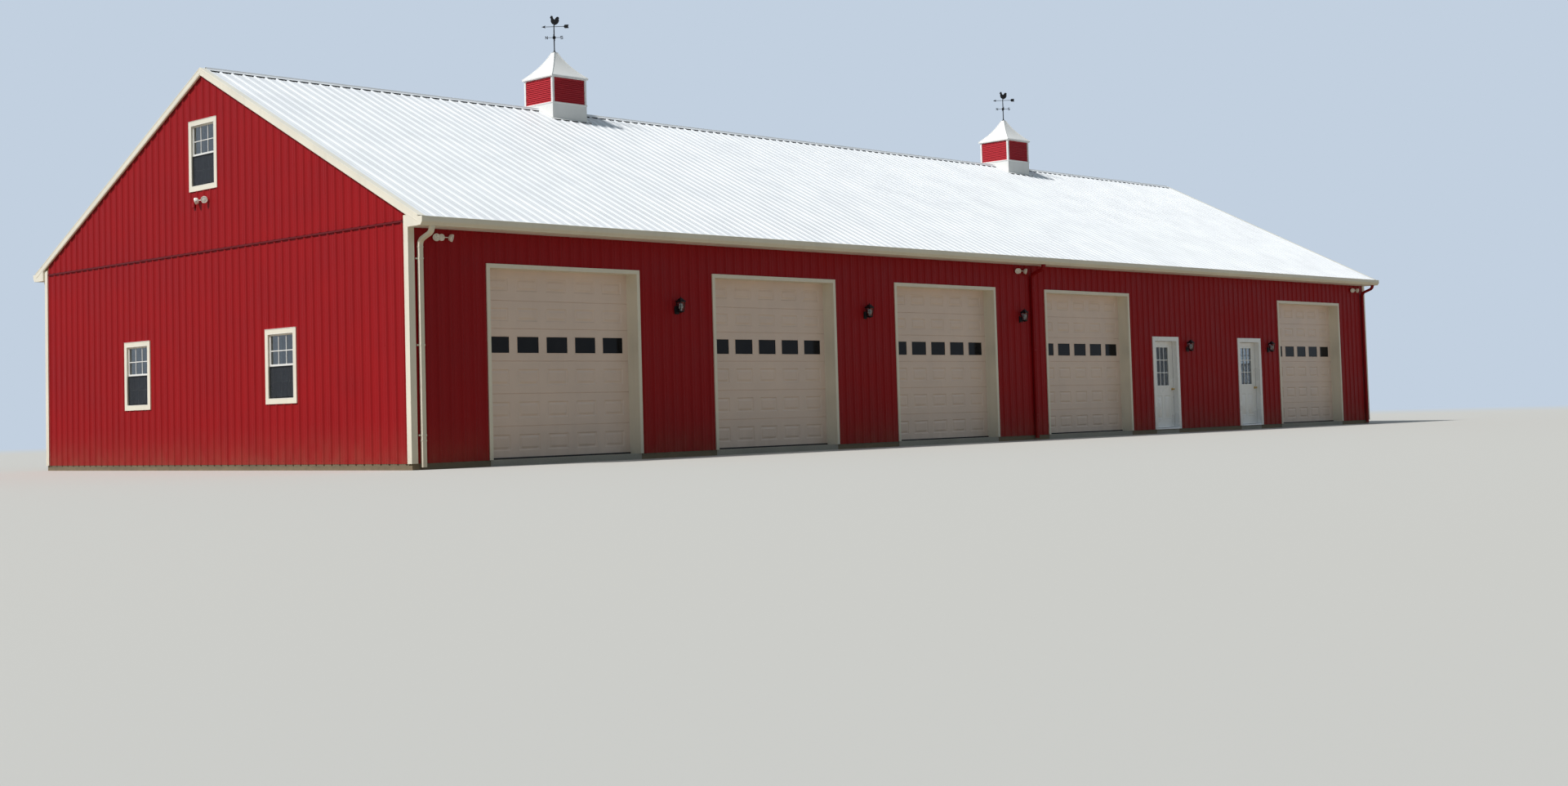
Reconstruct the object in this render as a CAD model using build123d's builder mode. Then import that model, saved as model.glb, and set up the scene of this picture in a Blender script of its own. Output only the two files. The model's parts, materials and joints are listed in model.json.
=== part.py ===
from build123d import *
import math
import os

# Long single-storey shop building with a gable roof: ribbed metal sheets on a timber frame, five
# overhead doors and two entry doors in the front wall, and two louvred cupolas with weathervanes.
# Millimetres. X runs along the building, Y from the front wall to the back wall, Z up. The origin
# is on the ground, in the middle of the building.

os.makedirs("parts", exist_ok=True)

INCH = 25.4
FOOT = 12 * INCH

# Plan
bay_width = 200 * INCH
bay_count = 6
end_margin = 24 * INCH
building_width = 40 * FOOT

# Walls and floor
floor_top = 100.0
skirt_thickness = 38.0
wall_thickness = 250.0

# Ribbed sheets
sheet_thickness = 3.0
rib_pitch = 9 * INCH
rib_height = 19.0
rib_width = 60.0

# Roof
roof_rise_per_run = 6 / 12
eave_height = 4080.0
side_overhang = 300.0
drip_overhang = 40.0
ridge_gap = 15.0
purlin_width = 89.0
purlin_thickness = 38.0
purlin_spacing = 48 * INCH
ridge_cap_width = 230.0
ridge_cap_thickness = 3.0
rake_board_thickness = 38.0
rake_board_depth = 95.0
rake_lip_width = 60.0
eave_box_depth = 145.0
fascia_thickness = 25.0
soffit_thickness = 12.0

# Trusses
truss_thickness = 38.0
top_chord_depth = 140.0
bottom_chord_depth = 140.0
web_width = 89.0
truss_spacing = 8 * FOOT
web_foot_spread = 140.0
web_head_spread = 130.0

# Gutters and downspouts
gutter_width = 120.0
gutter_height = 140.0
gutter_wall = 3.0
gutter_base_width = 80.0
gutter_bead_rise = 64.0
downspout_width = 80.0
downspout_depth = 56.0
downspout_inset = 185.0
middle_downspout_offset = 400.0
downspout_drop = 90.0
downspout_elbow_run = 110.0
downspout_foot = 40.0

# Trims
trim_past_ribs = 3.0
corner_trim_width = 95.0
band_trim_height = 60.0
band_trim_middle = 3865.0

# Overhead doors
overhead_clear_width = 3180.0
overhead_clear_height = 3095.0
overhead_trim_width = 68.0
overhead_jamb_thickness = 38.0
overhead_door_bays = (0, 1, 2, 3, 5)
overhead_leaf_thickness = 50.0
overhead_leaf_lap = 25.0
overhead_section_height = 21 * INCH
overhead_tall_sections = 4
overhead_top_section_height = 18 * INCH
section_groove = 8.0
overhead_pane_count = 5
overhead_pane_pitch = 620.0
overhead_pane_width = 447.0
overhead_pane_height = 265.0
overhead_pane_middle = 1868.0
overhead_glass_thickness = 12.0

# Entry doors
entry_bay = 4
entry_spacing = 152 * INCH
leaf_width = 36 * INCH
leaf_height = 80 * INCH
leaf_thickness = 44.0
leaf_gap = 7.0
leaf_setback = 100.0
entry_jamb_thickness = 25.0
entry_stop_width = 12.0
entry_stop_depth = 20.0
entry_trim_width = 76.0
sill_height = 30.0
hinge_radius = 6.0
hinge_length = 100.0
hinge_offset = 8.0
hinge_plate_thickness = 3.0
hinge_plate_width = 25.0
hinge_seat_gap = 0.3
hinge_end_inset = 230.0
leaf_glass_width = 500.0
leaf_glass_height = 900.0
leaf_glass_middle = 1480.0
leaf_glass_thickness = 12.0
leaf_glass_frame = 30.0
leaf_glass_frame_proud = 10.0
leaf_panel_width = 270.0
leaf_panel_height = 560.0
leaf_panel_spacing = 370.0
leaf_panel_middle = 520.0
leaf_panel_depth = 6.0
knob_height = 940.0
knob_backset = 70.0
knob_radius = 28.0
knob_rose_radius = 32.0
knob_reach = 62.0
knob_rose_thickness = 6.0
knob_neck_radius = 14.0
knob_face_radius = 20.0

# Windows
window_width = 762.0
window_height = 1080.0
window_casing = 95.0
window_liner = 20.0
window_fit = 0.3
sash_stile = 45.0
sash_thickness = 34.0
sash_gap = 4.0
sash_setback = 12.0
sash_overlap = 40.0
window_glass_thickness = 8.0
screen_thickness = 4.0
lower_window_middle = 1752.0
upper_window_middle = 5605.0
gable_window_spacing = 16 * FOOT
back_window_bays = (0, 2, 3, 5)

# Lamps
fixture_plate_thickness = 28.0
lantern_plate_width = 110.0
lantern_plate_height = 190.0
lantern_reach = 110.0
lantern_height = 2650.0
entry_lantern_height = 2050.0
entry_lantern_offset = 38 * INCH
cage_height = 170.0
cage_base_half = 38.0
cage_top_half = 56.0
cage_bar = 9.0
lantern_base_size = 88.0
lantern_base_height = 14.0
lantern_cap_size = 136.0
lantern_cap_height = 60.0
lantern_cap_top = 30.0
lantern_arm = 14.0
finial_height = 26.0
finial_width = 15.0
finial_tip = 4.0
flood_plate_radius = 57.0
flood_head_spread = 200.0
flood_end_inset = 630.0
flood_height = 3640.0
gable_flood_height = 4790.0
flood_bar = 20.0
flood_head_seat = 42.0
flood_head_length = 105.0
flood_head_radius = 52.0
flood_neck_radius = 24.0
flood_rim = 8.0
flood_tilt = 10.0
flood_splay = 27.0
junction_box_size = 90.0
junction_box_depth = 50.0
junction_box_offset = 310.0
junction_box_height = 4720.0

# Cupolas
cupola_spacing = 51 * FOOT
cupola_middle = 54.0
cupola_width = 36 * INCH
cupola_board = 20.0
cupola_base_top = 7260.0
cupola_ledge = 10.0
cupola_frame_height = 530.0
cupola_post_width = 48.0
cupola_rail_height = 8.0
louvre_count = 11
louvre_thickness = 8.0
louvre_depth = 54.0
louvre_tilt = 50.0
cupola_roof_overhang = 32.0
cupola_drip_height = 60.0
cupola_roof_height = 540.0
cupola_roof_sag = 26.0
cupola_cap_width = 90.0

# Weathervanes
mast_radius = 9.0
mast_collar_radius = 30.0
mast_collar_height = 45.0
arm_level = 320.0
arm_length = 135.0
arm_radius = 5.0
arm_knob_radius = 18.0
arm_knob_length = 50.0
arm_heading = 45.0
hub_radius = 18.0
hub_height = 30.0
mast_height = 480.0
pin_radius = 6.0
pin_length = 90.0
pin_clearance = 0.05
vane_seat_gap = 0.3
sleeve_radius = 11.0
sleeve_cap = 12.0
arrow_point_reach = 260.0
arrow_fin_reach = 310.0
arrow_radius = 4.5
arrow_level = 70.0
vane_plate_thickness = 6.0
fin_length = 110.0
fin_height = 76.0
point_length = 80.0
point_height = 52.0
rooster_height = 215.0
rooster_length = 195.0
vane_heading = 133.0

# Small round pieces are drawn with flat sides.
round_sides = 8

# Values worked out from the sizes above
building_length = bay_count * bay_width + 2 * end_margin
wall_x = building_length / 2
wall_y = building_width / 2
frame_x = wall_x - sheet_thickness
frame_y = wall_y - sheet_thickness
inner_x = frame_x - wall_thickness
trim_out = rib_height + trim_past_ribs
trim_thickness = sheet_thickness + trim_out
roof_angle = math.atan(roof_rise_per_run)
slope_cos = math.cos(roof_angle)
slope_sin = math.sin(roof_angle)
ridge_height = eave_height + wall_y * roof_rise_per_run
sheet_top = sheet_thickness + rib_height
fascia_y = wall_y + side_overhang
gutter_back_y = fascia_y + fascia_thickness
rake_x = wall_x + rib_height + rake_board_thickness


def side_taper(low, high, length, sides=4):
    """Draft that takes a prism from one corner radius, or half width, to another."""
    apothem = 1.0 if sides == 4 else math.cos(math.pi / sides)
    return math.degrees(math.atan((low - high) * apothem / length))


def roof_z(y, depth=0.0):
    """Height of the roof sheets' underside at y, or of a line that lies depth below it."""
    return ridge_height - abs(y) * roof_rise_per_run - depth / slope_cos


def bay_x(bay):
    """Middle of a bay, counted from the left."""
    return -wall_x + end_margin + (bay + 0.5) * bay_width


wall_top = roof_z(frame_y, purlin_thickness + top_chord_depth)
soffit_z = roof_z(fascia_y, eave_box_depth)
soffit_top = soffit_z + soffit_thickness
overhead_x = [bay_x(bay) for bay in overhead_door_bays]
entry_x = [bay_x(entry_bay) + side * entry_spacing / 2 for side in (-1, 1)]
overhead_gap_width = overhead_clear_width + 2 * overhead_jamb_thickness
overhead_gap_top = floor_top + overhead_clear_height + overhead_jamb_thickness
overhead_trim_outer = overhead_clear_width + 2 * overhead_trim_width
overhead_trim_top = floor_top + overhead_clear_height + overhead_trim_width
entry_clear_width = leaf_width + 2 * leaf_gap
entry_clear_top = floor_top + sill_height + leaf_height + 2 * leaf_gap
entry_gap_width = entry_clear_width + 2 * entry_jamb_thickness
entry_gap_top = entry_clear_top + entry_jamb_thickness
entry_trim_outer = entry_gap_width + 2 * entry_trim_width
entry_trim_top = entry_gap_top + entry_trim_width
leaf_bottom = floor_top + sill_height + leaf_gap
front_gaps = sorted(
    [(x, overhead_gap_width) for x in overhead_x] + [(x, entry_gap_width) for x in entry_x]
)

# Planes on the flats of the wall sheets: x along the wall, y up, z out of the building.
front_face = Plane(origin=(0, -wall_y, 0), x_dir=(1, 0, 0), z_dir=(0, -1, 0))
back_face = Plane(origin=(0, wall_y, 0), x_dir=(-1, 0, 0), z_dir=(0, 1, 0))
left_face = Plane(origin=(-wall_x, 0, 0), x_dir=(0, -1, 0), z_dir=(-1, 0, 0))
right_face = Plane(origin=(wall_x, 0, 0), x_dir=(0, 1, 0), z_dir=(1, 0, 0))

gable_windows = [
    (0, upper_window_middle),
    (-gable_window_spacing / 2, lower_window_middle),
    (gable_window_spacing / 2, lower_window_middle),
]
back_windows = [(bay_x(bay), lower_window_middle) for bay in back_window_bays]
window_walls = [(left_face, gable_windows), (right_face, gable_windows), (back_face, back_windows)]
casing_width = window_width + 2 * window_casing
casing_height = window_height + 2 * window_casing
window_gap_width = window_width + 2 * window_liner
window_gap_height = window_height + 2 * window_liner

lanterns = [(bay * bay_width - bay_count * bay_width / 2, lantern_height) for bay in (1, 2, 3)]
lanterns += [(x + entry_lantern_offset, entry_lantern_height) for x in entry_x]
front_floods = [(x, flood_height) for x in (-wall_x + flood_end_inset, 0, wall_x - flood_end_inset)]
gable_flood = [(0, gable_flood_height)]
flood_walls = [(front_face, front_floods), (left_face, gable_flood), (right_face, gable_flood)]
junction_box = (junction_box_offset, junction_box_height)
cupola_x = (cupola_middle - cupola_spacing / 2, cupola_middle + cupola_spacing / 2)
cupola_places = [(x, 0) for x in cupola_x]
cupola_frame_top = cupola_base_top + cupola_frame_height
cupola_apex = cupola_frame_top + cupola_drip_height + cupola_roof_height


def slope_face(side):
    """Plane on the roof sheets' underside: y up the slope, z out of the roof. Front is -1."""
    return Plane(
        origin=(0, 0, ridge_height),
        x_dir=(-side, 0, 0),
        z_dir=(0, side * slope_sin, slope_cos),
    )


def slope_section(side, start=0.0):
    """Plane square to the slope, start down from the ridge: y out of the roof, z down the slope."""
    face = slope_face(side)
    return Plane(
        origin=face.origin - face.y_dir * start, x_dir=face.x_dir, z_dir=face.y_dir * -1
    )


def slope_length(y):
    """Length down the slope from the ridge to the plan distance y."""
    return y / slope_cos


def ribbed_section(run, top):
    """Corners of a ribbed sheet's section, run wide, with its flats at height top."""
    ribs_a_side = int((run / 2 - rib_width / 2) // rib_pitch)
    points = [(-run / 2, top - sheet_thickness), (-run / 2, top)]
    for rib in range(-ribs_a_side, ribs_a_side + 1):
        middle = rib * rib_pitch
        points.append((middle - rib_width / 2, top))
        points.append((middle, top + rib_height))
        points.append((middle + rib_width / 2, top))
    return points + [(run / 2, top), (run / 2, top - sheet_thickness)]


def wall_section(face):
    """Level plane at the foot of a wall's sheets: x along the wall, y out of it, z down."""
    return Plane(
        origin=face.origin + Vector(0, 0, floor_top), x_dir=face.x_dir, z_dir=(0, 0, -1)
    )


def slope_strip(side, end_y, top_depth, bottom_depth):
    """Corners of a band down one slope to end_y, between two depths, with plumb ends."""
    return [
        (0, roof_z(0, top_depth)),
        (side * end_y, roof_z(end_y, top_depth)),
        (side * end_y, roof_z(end_y, bottom_depth)),
        (0, roof_z(0, bottom_depth)),
    ]


def gable_outline(half_width, depth):
    """Corners of a gable seen from outside, with its top depth below the roof sheets."""
    return [
        (-half_width, floor_top),
        (half_width, floor_top),
        (half_width, roof_z(half_width, depth)),
        (0, roof_z(0, depth)),
        (-half_width, roof_z(half_width, depth)),
    ]


# Concrete floor, with a tongue out to the wall face in each doorway
slab_edge_x = frame_x - skirt_thickness
slab_edge_y = frame_y - skirt_thickness
with BuildPart() as floor_slab:
    with BuildSketch():
        Rectangle(2 * slab_edge_x, 2 * slab_edge_y)
        for x, width in front_gaps:
            with Locations((x, -slab_edge_y)):
                Rectangle(width, skirt_thickness, align=(Align.CENTER, Align.MAX))
    extrude(amount=floor_top)
floor_slab.part.label = "floor_slab"
export_step(floor_slab.part, "parts/floor_slab.step")

# Skirt boards at the foot of the walls, broken at the doorways
edges = [-frame_x]
for x, width in front_gaps:
    edges += [x - width / 2, x + width / 2]
edges.append(frame_x)
front_stretches = list(zip(edges[0::2], edges[1::2]))

with BuildPart() as side_skirt_boards:
    with BuildSketch():
        for start, end in front_stretches:
            with Locations((start, -frame_y)):
                Rectangle(end - start, skirt_thickness, align=(Align.MIN, Align.MIN))
        with Locations((0, frame_y)):
            Rectangle(2 * frame_x, skirt_thickness, align=(Align.CENTER, Align.MAX))
    extrude(amount=floor_top)
side_skirt_boards.part.label = "side_skirt_boards"
export_step(side_skirt_boards.part, "parts/side_skirt_boards.step")

with BuildPart() as gable_skirt_boards:
    with BuildSketch():
        with Locations((frame_x - skirt_thickness / 2, 0), (-frame_x + skirt_thickness / 2, 0)):
            Rectangle(skirt_thickness, 2 * slab_edge_y)
    extrude(amount=floor_top)
gable_skirt_boards.part.label = "gable_skirt_boards"
export_step(gable_skirt_boards.part, "parts/gable_skirt_boards.step")

# Front wall: piers between the doorways, a header along the whole wall, and the panels between
# the entry doors' heads and the header. The gable walls close its ends.
with BuildPart() as front_wall_piers:
    with BuildSketch(Plane.XY.offset(floor_top)):
        for start, end in front_stretches:
            left = max(start, -inner_x)
            right = min(end, inner_x)
            with Locations((left, -frame_y)):
                Rectangle(right - left, wall_thickness, align=(Align.MIN, Align.MIN))
    extrude(amount=overhead_gap_top - floor_top)
front_wall_piers.part.label = "front_wall_piers"
export_step(front_wall_piers.part, "parts/front_wall_piers.step")

with BuildPart() as front_wall_header:
    with BuildSketch(Plane.XY.offset(overhead_gap_top)):
        with Locations((0, -frame_y)):
            Rectangle(2 * inner_x, wall_thickness, align=(Align.CENTER, Align.MIN))
    extrude(amount=wall_top - overhead_gap_top)
front_wall_header.part.label = "front_wall_header"
export_step(front_wall_header.part, "parts/front_wall_header.step")

with BuildPart() as front_wall_over_entry_doors:
    with BuildSketch(Plane.XY.offset(entry_gap_top)):
        for x in entry_x:
            with Locations((x, -frame_y)):
                Rectangle(entry_gap_width, wall_thickness, align=(Align.CENTER, Align.MIN))
    extrude(amount=overhead_gap_top - entry_gap_top)
front_wall_over_entry_doors.part.label = "front_wall_over_entry_doors"
export_step(front_wall_over_entry_doors.part, "parts/front_wall_over_entry_doors.step")

# Back wall and gable walls, with their window openings
with BuildPart() as back_wall:
    with BuildSketch(back_face.offset(-sheet_thickness)):
        with Locations((0, (floor_top + wall_top) / 2)):
            Rectangle(2 * inner_x, wall_top - floor_top)
        with Locations(*back_windows):
            Rectangle(window_gap_width, window_gap_height, mode=Mode.SUBTRACT)
    extrude(amount=-wall_thickness)
back_wall.part.label = "back_wall"
export_step(back_wall.part, "parts/back_wall.step")

with BuildPart() as gable_walls:
    for face in (left_face, right_face):
        with BuildSketch(face.offset(-sheet_thickness)):
            Polygon(*gable_outline(frame_y, purlin_thickness), align=None)
            with Locations(*gable_windows):
                Rectangle(window_gap_width, window_gap_height, mode=Mode.SUBTRACT)
        extrude(amount=-wall_thickness)
gable_walls.part.label = "gable_walls"
export_step(gable_walls.part, "parts/gable_walls.step")

# Ribbed wall sheets, cut out round the doors' and windows' trims and the lamps' plates
long_siding_run = building_length - 2 * corner_trim_width
gable_siding_run = building_width - 2 * corner_trim_width

with BuildPart() as front_siding:
    with BuildSketch(wall_section(front_face)):
        Polygon(*ribbed_section(long_siding_run, 0), align=None)
    extrude(amount=floor_top - soffit_top)
    with BuildSketch(front_face.offset(-sheet_thickness)):
        for x in overhead_x:
            with Locations((x, floor_top)):
                Rectangle(
                    overhead_trim_outer,
                    overhead_trim_top - floor_top,
                    align=(Align.CENTER, Align.MIN),
                )
        for x in entry_x:
            with Locations((x, floor_top)):
                Rectangle(
                    entry_trim_outer,
                    entry_trim_top - floor_top,
                    align=(Align.CENTER, Align.MIN),
                )
        with Locations(*lanterns):
            Rectangle(lantern_plate_width, lantern_plate_height)
        with Locations(*front_floods):
            RegularPolygon(flood_plate_radius, round_sides)
    extrude(amount=trim_thickness, mode=Mode.SUBTRACT)
front_siding.part.label = "front_siding"
export_step(front_siding.part, "parts/front_siding.step")

with BuildPart() as back_siding:
    with BuildSketch(wall_section(back_face)):
        Polygon(*ribbed_section(long_siding_run, 0), align=None)
    extrude(amount=floor_top - soffit_top)
    with BuildSketch(back_face.offset(-sheet_thickness)):
        with Locations(*back_windows):
            Rectangle(casing_width, casing_height)
    extrude(amount=trim_thickness, mode=Mode.SUBTRACT)
back_siding.part.label = "back_siding"
export_step(back_siding.part, "parts/back_siding.step")

with BuildPart() as gable_siding:
    for face in (left_face, right_face):
        with BuildSketch(wall_section(face)):
            Polygon(*ribbed_section(gable_siding_run, 0), align=None)
        extrude(amount=floor_top - ridge_height)
        with BuildSketch(face.offset(-sheet_thickness)):
            Rectangle(2 * building_width, 2 * ridge_height)
            Polygon(*gable_outline(wall_y, purlin_thickness), align=None, mode=Mode.SUBTRACT)
            with Locations(*gable_windows):
                Rectangle(casing_width, casing_height)
            with Locations((0, band_trim_middle)):
                Rectangle(building_width, band_trim_height)
            with Locations(*gable_flood):
                RegularPolygon(flood_plate_radius, round_sides)
            with Locations(junction_box):
                Rectangle(junction_box_size, junction_box_size)
        extrude(amount=trim_thickness, mode=Mode.SUBTRACT)
gable_siding.part.label = "gable_siding"
export_step(gable_siding.part, "parts/gable_siding.step")

# Corner trims and the band across each gable at eave height
with BuildPart() as corner_trims:
    with BuildSketch(Plane.XY.offset(floor_top)):
        Rectangle(2 * (wall_x + trim_out), 2 * (wall_y + trim_out))
        Rectangle(2 * frame_x, 2 * frame_y, mode=Mode.SUBTRACT)
        Rectangle(long_siding_run, 2 * building_width, mode=Mode.SUBTRACT)
        Rectangle(2 * building_length, gable_siding_run, mode=Mode.SUBTRACT)
    extrude(amount=roof_z(wall_y + trim_out, rake_board_depth) - floor_top)
corner_trims.part.label = "corner_trims"
export_step(corner_trims.part, "parts/corner_trims.step")

with BuildPart() as gable_band_trims:
    for face in (left_face, right_face):
        with BuildSketch(face.offset(-sheet_thickness)):
            with Locations((0, band_trim_middle)):
                Rectangle(gable_siding_run, band_trim_height)
        extrude(amount=trim_thickness)
gable_band_trims.part.label = "gable_band_trims"
export_step(gable_band_trims.part, "parts/gable_band_trims.step")

# Roof trusses between the gable walls: top chords that run out to the eaves, bottom chords that
# bear on the side walls, and four webs each
truss_count = int(building_length // truss_spacing) - 1
truss_x = [(i - (truss_count - 1) / 2) * truss_spacing for i in range(truss_count)]
chord_underside = purlin_thickness + top_chord_depth
tail_break_y = (ridge_height - chord_underside / slope_cos - soffit_top) / roof_rise_per_run

for side, side_name in ((-1, "front"), (1, "back")):
    with BuildPart() as top_chords:
        for x in truss_x:
            with BuildSketch(Plane.YZ.offset(x - truss_thickness / 2)):
                with BuildLine():
                    Polyline(
                        (0, roof_z(0, purlin_thickness)),
                        (side * fascia_y, roof_z(fascia_y, purlin_thickness)),
                        (side * fascia_y, soffit_top),
                        (side * tail_break_y, soffit_top),
                        (0, roof_z(0, chord_underside)),
                        close=True,
                    )
                make_face()
            extrude(amount=truss_thickness)
    top_chords.part.label = f"{side_name}_truss_top_chords"
    export_step(top_chords.part, f"parts/{side_name}_truss_top_chords.step")

bottom_chord_top = wall_top + bottom_chord_depth
bottom_chord_end = frame_y - bottom_chord_depth / roof_rise_per_run
with BuildPart() as truss_bottom_chords:
    for x in truss_x:
        with BuildSketch(Plane.YZ.offset(x - truss_thickness / 2)):
            with BuildLine():
                Polyline(
                    (-frame_y, wall_top),
                    (frame_y, wall_top),
                    (bottom_chord_end, bottom_chord_top),
                    (-bottom_chord_end, bottom_chord_top),
                    close=True,
                )
            make_face()
        extrude(amount=truss_thickness)
truss_bottom_chords.part.label = "truss_bottom_chords"
export_step(truss_bottom_chords.part, "parts/truss_bottom_chords.step")

# Each web is named by the plan distances of its foot and its head from the ridge line.
web_foot_y = wall_y / 3
webs = [
    (web_foot_y - web_foot_spread / 2, web_head_spread / 2),
    (web_foot_y + web_foot_spread / 2, wall_y / 2),
]
with BuildPart() as truss_webs:
    for x in truss_x:
        with BuildSketch(Plane.YZ.offset(x - truss_thickness / 2)):
            for side in (-1, 1):
                for foot_y, head_y in webs:
                    with BuildLine():
                        Polyline(
                            (side * (foot_y - web_width / 2), bottom_chord_top),
                            (side * (foot_y + web_width / 2), bottom_chord_top),
                            (side * (head_y + web_width / 2),
                             roof_z(head_y + web_width / 2, chord_underside)),
                            (side * (head_y - web_width / 2),
                             roof_z(head_y - web_width / 2, chord_underside)),
                            close=True,
                        )
                    make_face()
        extrude(amount=truss_thickness)
truss_webs.part.label = "truss_webs"
export_step(truss_webs.part, "parts/truss_webs.step")

# Purlins laid flat on the top chords and on the gable walls
purlin_start = purlin_width
purlin_end = slope_length(fascia_y) - purlin_width / 2 - ridge_gap
purlin_steps = math.ceil((purlin_end - purlin_start) / purlin_spacing)
purlin_rows = [
    purlin_start + i * (purlin_end - purlin_start) / purlin_steps for i in range(purlin_steps + 1)
]
with BuildPart() as roof_purlins:
    for side in (-1, 1):
        with BuildSketch(slope_face(side)):
            with Locations(*[(0, -row) for row in purlin_rows]):
                Rectangle(2 * (wall_x + rib_height), purlin_width)
        extrude(amount=-purlin_thickness)
roof_purlins.part.label = "roof_purlins"
export_step(roof_purlins.part, "parts/roof_purlins.step")

# Ribbed roof sheets
drip_y = gutter_back_y + drip_overhang
for side, side_name in ((-1, "front"), (1, "back")):
    with BuildPart() as roof_sheet:
        with BuildSketch(slope_section(side, ridge_gap)):
            Polygon(*ribbed_section(2 * (wall_x + rib_height), sheet_thickness), align=None)
        extrude(amount=slope_length(drip_y) - ridge_gap)
    roof_sheet.part.label = f"{side_name}_roof_sheet"
    export_step(roof_sheet.part, f"parts/{side_name}_roof_sheet.step")

# Ridge cap on the ribs, in three stretches that stop at the cupolas
cap_top = -(sheet_top + ridge_cap_thickness)
cap_edge = ridge_cap_width * slope_cos
cap_end = wall_x - rake_lip_width
with BuildPart() as ridge_cap:
    with BuildSketch(Plane.YZ.offset(-cap_end)):
        with BuildLine():
            Polyline(
                (0, roof_z(0, cap_top)),
                (cap_edge, roof_z(cap_edge, cap_top)),
                (cap_edge, roof_z(cap_edge, -sheet_top)),
                (0, roof_z(0, -sheet_top)),
                (-cap_edge, roof_z(cap_edge, -sheet_top)),
                (-cap_edge, roof_z(cap_edge, cap_top)),
                close=True,
            )
        make_face()
    extrude(amount=2 * cap_end)
    with BuildSketch(Plane.XY.offset(eave_height)):
        with Locations(*cupola_places):
            Rectangle(cupola_width, cupola_width)
    extrude(amount=2 * ridge_height, mode=Mode.SUBTRACT)
ridge_cap.part.label = "ridge_cap"
export_step(ridge_cap.part, "parts/ridge_cap.step")

# Rake trims: a board down each gable's edge, with a lip over the ribs of the roof sheets
for side, side_name in ((-1, "front"), (1, "back")):
    with BuildPart() as rake_trims:
        for start in (-rake_x, wall_x + rib_height):
            with BuildSketch(Plane.YZ.offset(start)):
                Polygon(
                    *slope_strip(side, gutter_back_y, cap_top, rake_board_depth),
                    align=None,
                )
            extrude(amount=rake_board_thickness)
        for start in (-rake_x, cap_end):
            with BuildSketch(Plane.YZ.offset(start)):
                Polygon(*slope_strip(side, drip_y, cap_top, -sheet_top), align=None)
            extrude(amount=rake_x - cap_end)
    rake_trims.part.label = f"{side_name}_rake_trims"
    export_step(rake_trims.part, f"parts/{side_name}_rake_trims.step")

# Boxed eaves: fascias, soffits and the plates that close the ends
eave_run = 2 * (wall_x + rib_height)
soffit_inner_y = wall_y + trim_out
with BuildPart() as fascias:
    with BuildSketch(Plane.XY.offset(soffit_z)):
        with Locations((0, fascia_y), (0, -fascia_y - fascia_thickness)):
            Rectangle(eave_run, fascia_thickness, align=(Align.CENTER, Align.MIN))
    extrude(amount=roof_z(gutter_back_y) - soffit_z)
fascias.part.label = "fascias"
export_step(fascias.part, "parts/fascias.step")

with BuildPart() as soffits:
    with BuildSketch(Plane.XY.offset(soffit_z)):
        with Locations((0, soffit_inner_y), (0, -fascia_y)):
            Rectangle(eave_run, fascia_y - soffit_inner_y, align=(Align.CENTER, Align.MIN))
    extrude(amount=soffit_thickness)
soffits.part.label = "soffits"
export_step(soffits.part, "parts/soffits.step")

with BuildPart() as eave_end_plates:
    for start in (-rake_x, wall_x + rib_height):
        with BuildSketch(Plane.YZ.offset(start)):
            for side in (-1, 1):
                with BuildLine():
                    Polyline(
                        (side * soffit_inner_y, soffit_z),
                        (side * gutter_back_y, soffit_z),
                        (side * gutter_back_y, roof_z(gutter_back_y, rake_board_depth)),
                        (side * soffit_inner_y, roof_z(soffit_inner_y, rake_board_depth)),
                        close=True,
                    )
                make_face()
        extrude(amount=rake_board_thickness)
eave_end_plates.part.label = "eave_end_plates"
export_step(eave_end_plates.part, "parts/eave_end_plates.step")

# Gutters: open troughs with a stepped front, closed at their ends
gutter_top = roof_z(gutter_back_y) - 2 * gutter_wall
gutter_bottom = gutter_top - gutter_height


def gutter_section(side, inset):
    """Corners of the gutter, or of the trough inside it when inset by its wall."""
    base = gutter_bottom + inset
    top = gutter_top + inset
    step = gutter_width - gutter_base_width
    return [
        (side * (gutter_back_y + inset), top),
        (side * (gutter_back_y + inset), base),
        (side * (gutter_back_y + gutter_base_width - inset), base),
        (side * (gutter_back_y + gutter_base_width + step / 2 - inset), base + step),
        (side * (gutter_back_y + gutter_width - inset), base + gutter_bead_rise),
        (side * (gutter_back_y + gutter_width - inset), top),
    ]


with BuildPart() as gutters:
    for side in (-1, 1):
        with BuildSketch(Plane.YZ.offset(-rake_x)):
            Polygon(*gutter_section(side, 0), align=None)
        extrude(amount=2 * rake_x)
        with BuildSketch(Plane.YZ.offset(-rake_x + gutter_wall)):
            Polygon(*gutter_section(side, gutter_wall), align=None)
        extrude(amount=2 * (rake_x - gutter_wall), mode=Mode.SUBTRACT)
gutters.part.label = "gutters"
export_step(gutters.part, "parts/gutters.step")

# Downspouts: down from the gutter, back to the wall and down its face
pipe_out = wall_y + trim_out + downspout_depth / 2
pipe_top_out = gutter_back_y + gutter_base_width / 2
elbow_top = gutter_bottom - downspout_drop
elbow_bottom = elbow_top - downspout_elbow_run
downspout_route = [
    (pipe_top_out, gutter_bottom),
    (pipe_top_out, elbow_top),
    (pipe_out, elbow_bottom),
    (pipe_out, downspout_foot),
]
end_downspouts = (-wall_x + downspout_inset, wall_x - downspout_inset)
downspout_colours = (
    ("cream", [(end_downspouts[0], -1), (end_downspouts[0], 1)]),
    ("red", [(x, side) for x in (middle_downspout_offset, end_downspouts[1]) for side in (-1, 1)]),
)

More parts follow.
